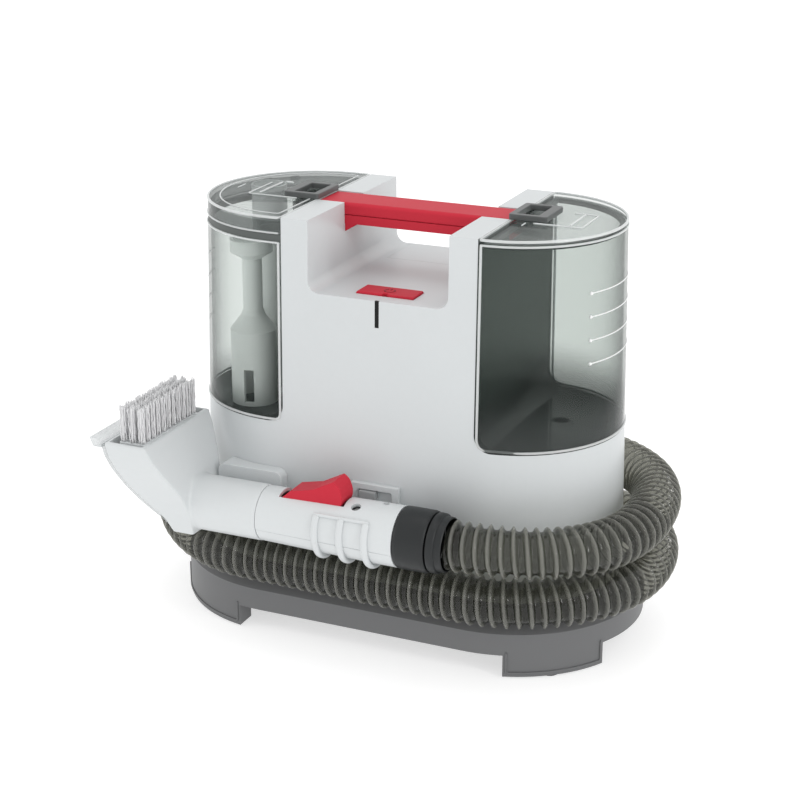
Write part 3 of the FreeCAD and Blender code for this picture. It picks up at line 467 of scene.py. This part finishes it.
def clear(name, colour, through, body=0.05, roughness=0.07, edge=4.0, foot_shade=None):
    """Clear moulded plastic: body is how milky it is face on, and it grows solid edge on.

    The painted shade that darkens some walls towards their foot, for the shaded shelf seen
    through them, is given as the most it adds and two heights.
    """
    material, tree, shader = principled(name)
    moulded(tree, shader, colour, roughness, 0.02, 500.0, 0.02)
    share = edge_on(tree, body, edge)
    if foot_shade:
        most, low, high = foot_shade
        # painted shade: the wall grows more solid, and so darker, towards its foot
        thick = value_range(tree, shade_by_height(tree, low, high), 0.0, most)
        total = add_node(tree, "ShaderNodeMath", operation="ADD", use_clamp=True)
        tree.links.new(share, total.inputs[0])
        tree.links.new(thick, total.inputs[1])
        share = total.outputs["Value"]
    see_through(tree, shader, through, share)
    return material


def ribbed(name):
    """Smoky hose wall: painted shade darkens its grooves and a painted highlight pales its
    ribs, by the attribute that holds the ribs' height.
    """
    material, tree, shader = principled(name)
    rib_light_and_shade = add_node(tree, "ShaderNodeAttribute", attribute_name="rib_light_and_shade")
    # painted shade in the grooves, painted highlight on the ribs
    factor, result = colour_mix(tree, (0.022, 0.023, 0.019), (0.30, 0.30, 0.27))
    height = value_range(tree, rib_light_and_shade.outputs["Fac"], 0.0, 1.0, 0.25, 1.0)
    tree.links.new(height, factor)
    place = add_node(tree, "ShaderNodeTexCoord").outputs["Object"]
    cloud = add_node(tree, "ShaderNodeTexNoise", Scale=60.0, Detail=4.0)
    tree.links.new(place, cloud.inputs["Vector"])
    gloss = value_range(tree, cloud.outputs["Fac"], 0.08, 0.17)
    tree.links.new(gloss, shader.inputs["Roughness"])
    tree.links.new(result, shader.inputs["Base Color"])
    shader.inputs["Specular IOR Level"].default_value = 0.8
    see_through(tree, shader, (0.64, 0.64, 0.59), edge_on(tree, 0.42, 3.0))
    return material


WHITE = plastic("white_plastic", (0.592, 0.616, 0.624), 0.36)
# The body's white made a little lighter, for the tool and its cradle: painted light.
LIT_WHITE = plastic("lit_white_plastic", (0.615, 0.638, 0.645), 0.36)
# Dark grey for the walls that face the tanks and the shelf under them: painted shade.
BAY_SHADE = plastic("bay_shade_plastic", (0.125, 0.140, 0.133), 0.42, gloss=0.3)
RED = plastic("red_plastic", (0.53, 0.026, 0.046), 0.48, gloss=0.13)
RED_MARK = plastic("red_mark", (0.22, 0.008, 0.016), 0.45, gloss=0.25)
TRAY = plastic("tray_plastic", (0.125, 0.127, 0.130), 0.46, grain=0.14, grain_scale=900.0)
DARK = plastic("latch_plastic", (0.095, 0.100, 0.100), 0.40, grain=0.08)
BLACK = plastic("black_plastic", (0.014, 0.016, 0.017), 0.40, grain=0.08, gloss=0.35)
GUIDE = plastic("guide_plastic", (0.005, 0.006, 0.006), 0.3, gloss=0.2)
RUBBER = plastic("rubber", (0.022, 0.022, 0.022), 0.72, grain=0.2)
GASKET = plastic("gasket_rubber", (0.075, 0.085, 0.081), 0.5, grain=0.06)
GREY = plastic("grey_plastic", (0.34, 0.35, 0.355), 0.44)
FLOAT = plastic("float_plastic", (0.66, 0.68, 0.68), 0.4, glow=0.3)
STEEL = plastic("steel", (0.52, 0.52, 0.51), 0.28, metal=1.0)
MARK = plastic("mark_print", (0.84, 0.85, 0.85), 0.3)
# Both tanks' walls carry painted shade that darkens them towards their foot.
TANK = clear("tank_plastic", (0.035, 0.042, 0.040), (0.885, 0.905, 0.893), body=0.07,
             foot_shade=(0.48, 0.150, 0.194))
DIRTY = clear("dirty_tank_plastic", (0.05, 0.06, 0.057), (0.925, 0.94, 0.932), body=0.045,
              foot_shade=(0.24, 0.152, 0.180))
LID = clear("lid_plastic", (0.15, 0.165, 0.160), (0.945, 0.957, 0.953), body=0.10, edge=7.0)
SKIRT = clear("lid_skirt_plastic", (0.07, 0.08, 0.077), (0.84, 0.86, 0.855), body=0.55)
# Pale milky white for the raised rims and lines: painted highlight along their edges.
RIM_HIGHLIGHT = clear("rim_highlight_plastic", (0.80, 0.82, 0.82), (0.95, 0.96, 0.96), body=0.62, roughness=0.12)
INSERT = clear("insert_plastic", (0.93, 0.95, 0.94), (0.97, 0.975, 0.97), 0.74, 0.3)
WINDOW = clear("window_plastic", (0.50, 0.52, 0.525), (0.96, 0.968, 0.97), 0.22, 0.06, 2.0)
BRISTLE = clear("bristle_nylon", (0.88, 0.88, 0.89), (0.98, 0.98, 0.98), 0.72, 0.3)
HOSE = ribbed("hose_plastic")


# -------------------------------------------------------------------------------- hose

HOSE_ROUTE = [
    (40, 97, 59), (121, 97, 59), (179, 41, 60), (179, -41, 59), (121, -97, 57.8),
    (40, -97.8, 58.2), (-40, -97.2, 59.4), (-120, -97, 60.4), (-178, -41, 67),
    (-178, 41, 78.5), (-120, 97, 89.5), (-40, 97.6, 98), (40, 97.2, 99.6), (121, 97, 100.2),
    (179, 42, 100.5), (181, -54, 99), (129, -108, 100), (74, -108, 100),
]
HOSE_DIAMETER = 35.0     # over the ribs
HOSE_SIDES = 44
HOSE_STEP = 0.75         # between the rings of its mesh
RIB_PITCH = 7.8
RIB_DEPTH = 3.3
RIB_SHARPNESS = 2.2      # above 1 the ribs are narrower than the grooves
CUFF_SIDES = 72


def spline_points(name, route):
    """Points along the smooth spline that a route controls."""
    curve = bpy.data.curves.new(name, "CURVE")
    curve.dimensions = "3D"
    spline = curve.splines.new("NURBS")
    spline.points.add(len(route) - 1)
    for point, place in zip(spline.points, route):
        point.co = (*mm(*place), 1.0)
    spline.order_u = 3
    spline.use_endpoint_u = True
    spline.resolution_u = 24
    holder = new_object(name, curve)
    mesh = bpy.data.meshes.new_from_object(holder)
    points = [v.co.copy() for v in mesh.vertices]
    bpy.data.objects.remove(holder)
    return points


def make_cuff():
    """The black cuff, and the collar that ends the hose, turned from (x, radius) profiles."""
    pieces = []
    for name, node, profile in (
        ("hose_cuff_look", "hose_cuff", (
            (40.3, 18.6), (40.3, 20.6), (41.0, 21.2), (43.0, 21.3), (60.2, 21.3), (61.8, 20.9),
            (62.4, 20.2), (62.4, 18.6))),
        ("hose_collar_look", "hose_collar", (
            (63.4, 17.9), (63.4, 19.4), (63.8, 20.2), (65.0, 20.5), (68.2, 20.3), (69.0, 19.6),
            (69.3, 18.9), (73.4, 18.6), (74.0, 18.0), (74.0, 17.7))),
    ):
        bm = bmesh.new()
        rings = []
        for x, radius in profile:
            ring = []
            for k in range(CUFF_SIDES):
                angle = 2 * math.pi * k / CUFF_SIDES
                ring.append(bm.verts.new(mm(
                    x, TOOL_Y + radius * math.cos(angle), TOOL_Z + radius * math.sin(angle)
                )))
            rings.append(ring)
        for lower, upper in zip(rings, rings[1:] + rings[:1]):
            for k in range(CUFF_SIDES):
                after = (k + 1) % CUFF_SIDES
                bm.faces.new((lower[k], upper[k], upper[after], lower[after]))
        piece = from_bmesh(name, bm)
        mark_sharp(piece, 40)
        pieces.append(finish_piece(piece, BLACK, stands_for=(node,)))
    return pieces


def make_hose():
    """The corrugated hose: one rib winds round it like a screw thread."""
    def height(gone, angle):
        turn = gone / (RIB_PITCH * MM) - angle / (2 * math.pi)
        return (0.5 + 0.5 * math.cos(2 * math.pi * turn)) ** RIB_SHARPNESS

    def radius(gone, angle):
        return (HOSE_DIAMETER / 2 - RIB_DEPTH * (1 - height(gone, angle))) * MM

    line = evenly(spline_points("hose_line", HOSE_ROUTE), HOSE_STEP * MM)
    bm = bmesh.new()
    tube_into(bm, line, radius, HOSE_SIDES)
    hose = from_bmesh("hose_look", bm)
    # The ribs' height, kept on the mesh, drives painted highlight on the ribs and painted
    # shade in the grooves.
    rib_light_and_shade = hose.data.attributes.new("rib_light_and_shade", "FLOAT", "POINT")
    step = run_length(line) / (len(line) - 1)
    angles = [2 * math.pi * k / HOSE_SIDES for k in range(HOSE_SIDES)]
    heights = [height(index * step, angle) for index in range(len(line)) for angle in angles]
    rib_light_and_shade.data.foreach_set("value", heights)
    finish_piece(hose, HOSE, stands_for=("hose",))
    make_cuff()


make_hose()


# -------------------------------------------------------------- moulded parts of the body

for node, material, slot, width in (
    ("rear_cover", WHITE, "body_white", 0.5),
    ("base_tray", TRAY, "tray_grey", 1.3),
    ("handle_upper", RED, "handle_red", 1.2),
    ("handle_lower", RED, "handle_red", 1.2),
    ("power_button", RED, "button_red", 0.9),
    ("tool_bracket", WHITE, "body_white", 0.8),
    ("bracket_catch", GREY, "catch_grey", 0.4),
    ("clean_tank_latch", DARK, "latch_grey", 0.6),
    ("dirty_tank_latch", DARK, "latch_grey", 0.6),
    ("exhaust_grille", GREY, "grille_grey", 0.3),
    ("hose_port", BLACK, "cuff_black", 0.8),
    ("cord_gland", BLACK, "cuff_black", 0.8),
    ("clean_tank", TANK, "tank_smoke", 1.2),
    ("dirty_tank", DIRTY, "tank_clear", 1.2),
    ("clean_tank_lid", LID, "lid_clear", 0.8),
    ("separator_insert", INSERT, "insert_clear", 0.4),
):
    softened(node, material, width)


BAY_LOW, BAY_HIGH = 150, 298       # heights between which the tanks face the housing
LEDGE_HIGH = 166                   # the shelf and its rounded edges end below this
TANK_FOOT = 156.6                  # height of the rim where a tank meets the body
DIRTY_TANK_TOP, CLEAN_TANK_TOP = 282.4, 296.0
LEVEL_COUNT, LEVEL_PITCH = 4, 16


def make_housing():
    """The white body; the walls that face the tanks and the shelf under them are painted dark
    grey, as painted shade seen through the tanks.
    """
    housing = softened("main_housing", WHITE, 1.6, segments=4)
    housing.data.materials.append(BAY_SHADE)
    for face in housing.data.polygons:
        x, y, z = (face.center[k] / MM for k in range(3))
        wall = abs(face.normal.x) > 0.3 and 60 < abs(x) < 84 and abs(y) < 72.5
        side_wall = wall and z < BAY_HIGH
        ledge = face.normal.z > 0.3 and abs(x) > 64 and z < LEDGE_HIGH
        in_bay = math.hypot(abs(x) - AXIS_X, y) < wall_radius(z) - 3 or abs(x) < AXIS_X
        # These faces get the dark grey of painted shade.
        if z > BAY_LOW and in_bay and (side_wall or ledge):
            face.material_index = 1


def make_dirty_lid():
    """The lid's skirt, where it meets the gasket, is a smokier moulding than its plate."""
    lid = softened("dirty_tank_lid", LID, 0.8)
    lid.data.materials.append(SKIRT)
    for face in lid.data.polygons:
        if abs(face.normal.z) < 0.3 and face.center.z < 298.6 * MM:
            face.material_index = 1


def make_tank_edges():
    """Raised rims on the tanks where they meet the body, and round their tops, in pale white
    as painted highlight.
    """
    for tank, body, side, flat, top, slot in (
        ("clean", "clean_tank", 1, 79.0, 296.4, "tank_smoke"),
        ("dirty", "dirty_tank", -1, 67.0, 283.0, "tank_clear"),
    ):
        low_reach, high_reach = wall_radius(TANK_FOOT) + 0.1, wall_radius(top) + 0.1
        curve = end_arc(side, low_reach, TANK_FOOT)
        low = [(side * flat, -high_reach, top), (side * flat, -low_reach, TANK_FOOT)]
        high = [(side * flat, low_reach, TANK_FOOT), (side * flat, high_reach, top)]
        if side > 0:
            curve = curve[8:-8]
        line = rounded_line(low + curve + high, 8.0)
        bead(tank + "_tank_edge", line, 0.9, RIM_HIGHLIGHT, body)
    z = DIRTY_TANK_TOP
    reach = wall_radius(z)
    rim = [(-67, -reach, z)] + end_arc(-1, reach, z) + [(-67, reach, z)]
    bead("dirty_tank_rim", rounded_line(rim, 2), 0.7, RIM_HIGHLIGHT, "dirty_tank")
    z = CLEAN_TANK_TOP
    rim = end_arc(1, wall_radius(z) - 0.2, z)
    bead("clean_tank_rim", rounded_line(rim, 2), 0.8, RIM_HIGHLIGHT, "clean_tank")


def make_level_lines():
    """Level marks on both tanks; the clean tank's start with a dot."""
    for index in range(LEVEL_COUNT):
        for side, body, slot, top, thick, low, high in (
            (1, "clean_tank", "tank_smoke", 262, 0.42, -30, 22),
            (-1, "dirty_tank", "tank_clear", 256, 0.6, -25, -10),
        ):
            z = top - LEVEL_PITCH * index
            arc = rounded_line(end_arc(side, wall_radius(z) + 0.1, z, low, high, 30), 1)
            name = f"{body}_level_{index + 1}"
            bead(name, arc, thick, MARK, body, sides=8, step=1.2)
            if side > 0:
                bm = bmesh.new()
                bmesh.ops.create_uvsphere(bm, u_segments=16, v_segments=10, radius=1.2 * MM)
                dot = from_bmesh(f"{body}_level_dot_{index + 1}", bm)
                dot.data.transform(Matrix.Translation(arc[0]))
                finish_piece(dot, MARK, body)


def make_lid_frames():
    """Raised rims, and the lines of the latch's lane and its stops, on both lids, in pale
    white as painted highlight.
    """
    for name, body, thick, line in (
        ("clean_lid_rim", "clean_lid", 0.95, lid_loop(1, 73.0, 299.4)),
        ("dirty_lid_rim", "dirty_lid", 0.95, lid_loop(-1, 73.0, 299.4, -66.2)),
        ("dirty_lid_foot", "dirty_lid", 0.7, lid_loop(-1, 73.5, 289.0, -66.2)),
        ("dirty_lid_ledge", "dirty_lid", 0.5, lid_loop(-1, 64.5, 300.1, -71.2)),
    ):
        bead(name, line, thick, RIM_HIGHLIGHT, body, closed=True)
    lanes = (
        ("clean_lane", "clean_lid", 0.6,
         [(96, -22.5, 300.6), (129.5, -22.5, 300.6), (129.5, 14.5, 300.6),
          (112.6, 14.5, 300.6)]),
        ("clean_stop", "clean_lid", 0.8, [(120.5, -19, 300.6), (120.5, 13, 300.6)]),
        ("clean_rib", "clean_lid", 0.45, [(90.5, -22.5, 300.3), (90.5, -30, 300.3)]),
        ("dirty_lane", "dirty_lid", 0.5,
         [(-80, -19.6, 300.5), (-118.5, -19.6, 300.5), (-118.5, 17.5, 300.5)]),
        ("dirty_stop", "dirty_lid", 0.7, [(-111.5, -15, 300.6), (-111.5, 20, 300.6)]),
        ("dirty_tab", "dirty_lid", 1.0, [(-110.5, 23.5, 300.2), (-104, 23.5, 300.2)]),
        ("dirty_rib", "dirty_lid", 0.45, [(-134, -6, 300.3), (-134, 6, 300.3)]),
    )
    for name, body, radius, points in lanes:
        bead(name, rounded_line(points, 3), radius, RIM_HIGHLIGHT, body, sides=10)
    for index, angle in enumerate((38, 54)):
        lug = end_arc(-1, 74.6, 294.5, angle - 3, angle + 3, 6)
        bead(f"dirty_lid_lug_{index + 1}", rounded_line(lug, 1), 1.9, RIM_HIGHLIGHT,
             "dirty_lid")


def make_power_mark():
    """The usual open ring and stroke on the button's top."""
    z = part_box("power_button")[1].z / MM + 0.05
    x, y, reach = 6.0, -53.0, 3.6
    ring = []
    for k in range(25):
        angle = math.radians(120 + 300 * k / 24)
        ring.append((x + reach * math.cos(angle), y + reach * math.sin(angle), z))
    flat = (Vector((0, 0, 1)), 0.45)
    bead("power_ring", rounded_line(ring, 0.3), 0.5, RED_MARK, "power_button",
         sides=8, step=0.6, stretch=flat)
    stroke = [(x, y + 1.2, z), (x, y + 4.8, z)]
    bead("power_stroke", rounded_line(stroke, 0.3), 0.5, RED_MARK,
         "power_button", sides=8, step=0.6, stretch=flat)


def make_tray_beads():
    """Raised lines round the legs and along the shoulder of the base tray."""
    reach = TRAY_RADIUS + 0.25
    legs = (
        ("leg_bead_1", 1, -71.5, -29.5), ("leg_bead_2", 1, 29.5, 71.5),
        ("leg_bead_3", -1, -79.0, -29.5), ("leg_bead_4", -1, 29.5, 79.0),
    )
    for name, side, start, end in legs:
        foot = end_arc(side, reach, 4.2, start, end, 30)
        line = [(*foot[0][:2], 19.5)] + foot + [(*foot[-1][:2], 19.5)]
        bead(name, rounded_line(line, 3), 0.75, TRAY, "machine", sides=8)
    edge = end_arc(1, TRAY_RADIUS - 0.5, 32.6) + end_arc(-1, TRAY_RADIUS - 0.5, 32.6)[::-1]
    bead("tray_shoulder", rounded_line(edge, 2, closed=True), 0.7, TRAY,
         "machine", closed=True, sides=8)


make_housing()
make_dirty_lid()
make_tank_edges()
make_level_lines()
make_lid_frames()
make_power_mark()
make_tray_beads()


# ------------------------------------------------------------------------ tool's nozzle

MOUTH_TOP = 152.0
CORNER_RUNS = 4          # runs in each rounded corner of the fan's sections
RECESS = 3.2             # how far the fan's front wall stands behind its clear window
RECESS_START, RECESS_RISE = 84, 12
FRONT_WALL, SIDE_WALL = 2.6, 2.8


def value_at(points, z):
    """A value by height, straight between the points of its table."""
    if z <= points[0][0]:
        return points[0][1]
    for (z0, v0), (z1, v1) in zip(points, points[1:]):
        if z <= z1:
            t = (z - z0) / (z1 - z0)
            return v0 + (v1 - v0) * t
    return points[-1][1]


# The fan's walls at heights: x of its outer and inner wall, and its half width.
OUTER_WALL = [(79, -127), (84, -130), (90, -134.5), (97, -143.5), (105, -151), (115, -157.5),
              (128, -162.2), (140, -164.8), (152, -166)]
INNER_WALL = [(79, -112), (97, -112), (112, -113.5), (121, -117), (130, -121.5),
              (140, -126), (147, -129.2), (152, -131.2)]
HALF_WIDTH = [(79, 16.5), (86, 18), (97, 21.2), (106, 25), (115, 29.5), (124, 34.5),
              (133, 39.2), (142, 43), (152, 45)]


def fan_loft(name, low, high, section, steps=46):
    """A solid stacked from rounded rectangles about the tool's axis.

    section gives the least and greatest x at a height, the half width and the corner radius.
    """
    bm = bmesh.new()
    rings = []
    for k in range(steps + 1):
        z = low + (high - low) * k / steps
        left, right, half, corner = section(z)
        corner = min(corner, (right - left) / 2 - 0.05)
        ring = []
        for cx, cy, start in (
            (right - corner, half - corner, 0), (left + corner, half - corner, 90),
            (left + corner, -half + corner, 180), (right - corner, -half + corner, 270),
        ):
            for step in range(CORNER_RUNS + 1):
                angle = math.radians(start + 90 * step / CORNER_RUNS)
                x = cx + corner * math.cos(angle)
                y = TOOL_Y + cy + corner * math.sin(angle)
                ring.append(bm.verts.new(mm(x, y, z)))
        rings.append(ring)
    for lower, upper in zip(rings, rings[1:]):
        for k in range(len(lower)):
            after = (k + 1) % len(lower)
            bm.faces.new((lower[k], lower[after], upper[after], upper[k]))
    bm.faces.new(list(reversed(rings[0])))
    bm.faces.new(rings[-1])
    return from_bmesh(name, bm)


def tool_cylinder(name, start, end, offset):
    """A round bar on the tool's axis that stands past the barrel by the offset."""
    bm = bmesh.new()
    line = [mm(start + (end - start) * k / 20, TOOL_Y, TOOL_Z) for k in range(21)]

    def reach(gone, angle):
        return (tool_radius(start + gone / MM) + offset) * MM

    tube_into(bm, line, reach, 64)
    return from_bmesh(name, bm)


def cut_away(obj, tool):
    """Cut one closed mesh out of another, then throw the cutter away."""
    cutter = obj.modifiers.new("cut", "BOOLEAN")
    cutter.operation = "DIFFERENCE"
    cutter.object = tool
    cutter.solver = "EXACT"
    apply_modifiers(obj)
    bpy.data.objects.remove(tool)
    return obj


def outer_section(z):
    """The fan's outside; its front wall steps back behind the window above the stem."""
    set_back = RECESS * min(1.0, max(0.0, (z - RECESS_START) / RECESS_RISE))
    return (value_at(OUTER_WALL, z) + set_back, value_at(INNER_WALL, z),
            value_at(HALF_WIDTH, z), 1.0)


def room_section(z):
    """The hollow inside the fan's walls."""
    left, right, half, _ = outer_section(z)
    return left + FRONT_WALL, right - SIDE_WALL, half - SIDE_WALL, 0.9


def make_nozzle():
    """The fan and the stem it grows from, as one hollow skin, and the sleeve on the stem."""
    fan = fan_loft("nozzle_look", 80.5, MOUTH_TOP - 0.3, outer_section)
    stem = tool_cylinder("stem", -127, -62.6, 0.4)
    bm = bmesh.new()
    bm.from_mesh(fan.data)
    bm.from_mesh(stem.data)
    bm.to_mesh(fan.data)
    bm.free()
    bpy.data.objects.remove(stem)
    skin = fan.modifiers.new("skin", "REMESH")
    skin.mode = "VOXEL"
    skin.voxel_size = 1 * MM
    relax = fan.modifiers.new("relax", "SMOOTH")
    relax.factor = 0.5
    relax.iterations = 4
    apply_modifiers(fan)
    cut_away(fan, fan_loft("throat", 92, MOUTH_TOP + 4, room_section))
    cut_away(fan, tool_cylinder("bore", -122, -60, -2.6))
    for face in fan.data.polygons:
        face.use_smooth = True
    mark_sharp(fan, 50)
    finish_piece(fan, LIT_WHITE, stands_for=("nozzle_head",))
    sleeve = tool_cylinder("nozzle_sleeve", -84, -62.35, 0.1)
    mark_sharp(sleeve, 50)
    finish_piece(sleeve, LIT_WHITE, body_of("nozzle_head"))


def make_nozzle_window():
    """The clear front wall of the mouth and the lip that stands past it."""
    def wall(z):
        left = value_at(OUTER_WALL, z)
        return left + 0.4, left + 2.9, value_at(HALF_WIDTH, z) - 0.2, 0.9

    def lip(z):
        lean = (z - 147.6) / 6.2
        return -171.5 - 3.2 * lean, -164.2 - 4.6 * lean, 44.6, 1.1

    window = fan_loft("nozzle_window_look", 88, 149.5, wall)
    finish_piece(window, WINDOW, stands_for=("nozzle_window",))
    edge = fan_loft("nozzle_lip", 147.6, 153.8, lip, steps=6)
    round_edges(edge, 0.6, 2)
    finish_piece(edge, WINDOW, body_of("nozzle_window"))


TUFT_ROWS = (-151, -143.9, -136.8)
TUFTS, TUFT_PITCH, FIRST_TUFT = 11, 6.8, -36.8
STRANDS, STRAND_RADIUS, STRAND_RUNS = 15, 0.42, 11
GOLDEN_ANGLE = 2.399963  # radians; spreads the strands evenly over a tuft's round foot


def make_bristles():
    """Three rows of nylon tufts, each of separate wavy filaments, set in their bar."""
    draw = random.Random(11)
    low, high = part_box("bristle_tufts")
    base, tip = low.z / MM, high.z / MM
    bm = bmesh.new()
    for row in TUFT_ROWS:
        for step in range(TUFTS):
            tuft_y = TOOL_Y + FIRST_TUFT + TUFT_PITCH * step
            for strand in range(STRANDS):
                angle = strand * GOLDEN_ANGLE
                spread = 2.15 * math.sqrt((strand + 0.5) / STRANDS)
                x = row + spread * math.cos(angle)
                y = tuft_y + spread * math.sin(angle) * 1.25
                height = tip - base - draw.uniform(0, 2.4)
                lean_x, lean_y = draw.uniform(-0.5, 0.5), draw.uniform(-0.6, 0.6)
                phase, wave = draw.uniform(0, 6.28), draw.uniform(0.18, 0.42)
                line = []
                for k in range(STRAND_RUNS + 1):
                    t = k / STRAND_RUNS
                    sway = wave * math.sin(phase + 17 * t)
                    line.append(mm(
                        x + lean_x * t + sway * math.cos(angle),
                        y + lean_y * t + sway * math.sin(angle),
                        base + 0.05 + height * t,
                    ))
                tube_into(bm, line, lambda gone, turn: STRAND_RADIUS * MM, 5)
    tufts = from_bmesh("bristle_strands", bm)
    finish_piece(tufts, BRISTLE, stands_for=("bristle_tufts",))
    softened("bristle_bar", LIT_WHITE, 0.6)


def make_barrel():
    """The two grip shells, drawn in a little towards the nozzle."""
    for node in ("tool_upper_shell", "tool_lower_shell"):
        shell = softened(node, LIT_WHITE, 0.6)
        for vertex in shell.data.vertices:
            share = tool_radius(vertex.co.x / MM) / TOOL_RADIUS
            vertex.co.y = (TOOL_Y + (vertex.co.y / MM - TOOL_Y) * share) * MM
            vertex.co.z = (TOOL_Z + (vertex.co.z / MM - TOOL_Z) * share) * MM


make_nozzle()
make_nozzle_window()
make_bristles()
make_barrel()


# -------------------------------------------------------------------------- tool's grip

def around_tool(x, radius, start, end, low_radius, count=30):
    """Points round the grip between two angles; 0 is its front and -90 its underside.

    low_radius is how far from the axis the line hangs at the underside.
    """
    out = []
    for k in range(count + 1):
        angle = math.radians(start + (end - start) * k / count)
        down = max(0.0, -math.sin(angle))
        narrower = TOOL_RADIUS - tool_radius(x)
        reach = radius - narrower + (low_radius - radius) * down ** 2
        out.append((x, TOOL_Y - reach * math.cos(angle), TOOL_Z + reach * math.sin(angle)))
    return out


def make_grip_ribs():
    """Three finger ribs that hang under the grip from a rail along its front."""
    wide = (Vector((1, 0, 0)), 1.45)
    for index, x in enumerate((-16.5, 2.0, 20.5)):
        line = rounded_line(around_tool(x, TOOL_RADIUS + 0.4, 38, -160, TOOL_RADIUS + 2.6), 2)
        bead(f"grip_rib_{index + 1}", line, 1.75, LIT_WHITE,
             body_of("tool_lower_shell"), stretch=wide)
    reach = TOOL_RADIUS + 0.2
    rail = [around_tool(x, reach, 38, 38, reach, 1)[0] for x in (-18.5, 22.5)]
    bead("grip_rail", rounded_line(rail, 1), 1.3, LIT_WHITE,
         body_of("tool_lower_shell"))


make_grip_ribs()
# The cradle is the body's plastic; its lighter white offsets its shade as painted light.
softened("tool_cradle", LIT_WHITE, 4.6, segments=6)
softened("spray_trigger", RED, 1.5, segments=4)

# Sub-parts that show as the CAD has them, most of them inside the body.
PLAIN = {
    BLACK: ("spray_tip",),
    GUIDE: ("indicator_strip",),
    RUBBER: ("foot_pads",),
    GASKET: ("clean_lid_seal", "dirty_lid_gasket"),
    FLOAT: ("float_cage", "tank_float"),
    STEEL: ("base_screws", "body_screws", "tool_screws", "trigger_pin", "trigger_spring",
            "button_spring", "tank_valve_spring", "motor_can"),
    GREY: ("fan_scroll", "fan_impeller", "motor_deck", "motor_mounts", "pump_body",
           "pump_bracket", "air_duct", "dirty_duct", "power_switch", "spray_valve",
           "tank_valve_cap", "tank_valve_plunger", "valve_seat", "motor_rotor",
           "solution_tubes", "control_board"),
}
for material, names in PLAIN.items():
    for name in names:
        nodes[name].data.materials.clear()
        nodes[name].data.materials.append(material)


# --------------------------------------------------------------------- floor and lights

def make_stage():
    """A pale floor that glows a little, so that it stays plain, in even white light."""
    bm = bmesh.new()
    bmesh.ops.create_grid(bm, x_segments=1, y_segments=1, size=6.0)
    floor = from_bmesh("floor", bm)
    floor_look, _, shader = principled("floor_look")
    shader.inputs["Base Color"].default_value = (0.60, 0.60, 0.60, 1)
    shader.inputs["Roughness"].default_value = 0.9
    shader.inputs["Specular IOR Level"].default_value = 0.1
    shader.inputs["Emission Color"].default_value = (1, 1, 1, 1)
    shader.inputs["Emission Strength"].default_value = 0.58
    floor.data.materials.append(floor_look)
    world = bpy.data.worlds.new("studio")
    world.use_nodes = True
    world.node_tree.nodes["Background"].inputs["Color"].default_value = (1, 1, 1, 1)
    world.node_tree.nodes["Background"].inputs["Strength"].default_value = 1.0
    bpy.context.scene.world = world
    bpy.context.scene.view_settings.view_transform = "Standard"


def area_light(name, place, aim, size, power):
    """A soft rectangular lamp; places and sizes in metres, power in watts."""
    data = bpy.data.lights.new(name, "AREA")
    data.shape = "RECTANGLE"
    data.size, data.size_y = size
    data.energy = power
    lamp = bpy.data.objects.new(name, data)
    bpy.context.scene.collection.objects.link(lamp)
    lamp.location = place
    lamp.rotation_euler = (Vector(aim) - Vector(place)).to_track_quat("-Z", "Y").to_euler()


make_stage()
area_light("key", (2.0, -0.7, 1.0), (0, 0, 0.15), (0.12, 1.0), 7.5)
area_light("left", (-1.7, -0.9, 0.8), (0, 0, 0.12), (0.09, 1.0), 2.2)
area_light("top", (0.1, 0.1, 1.9), (0, 0, 0.15), (0.8, 0.8), 2)
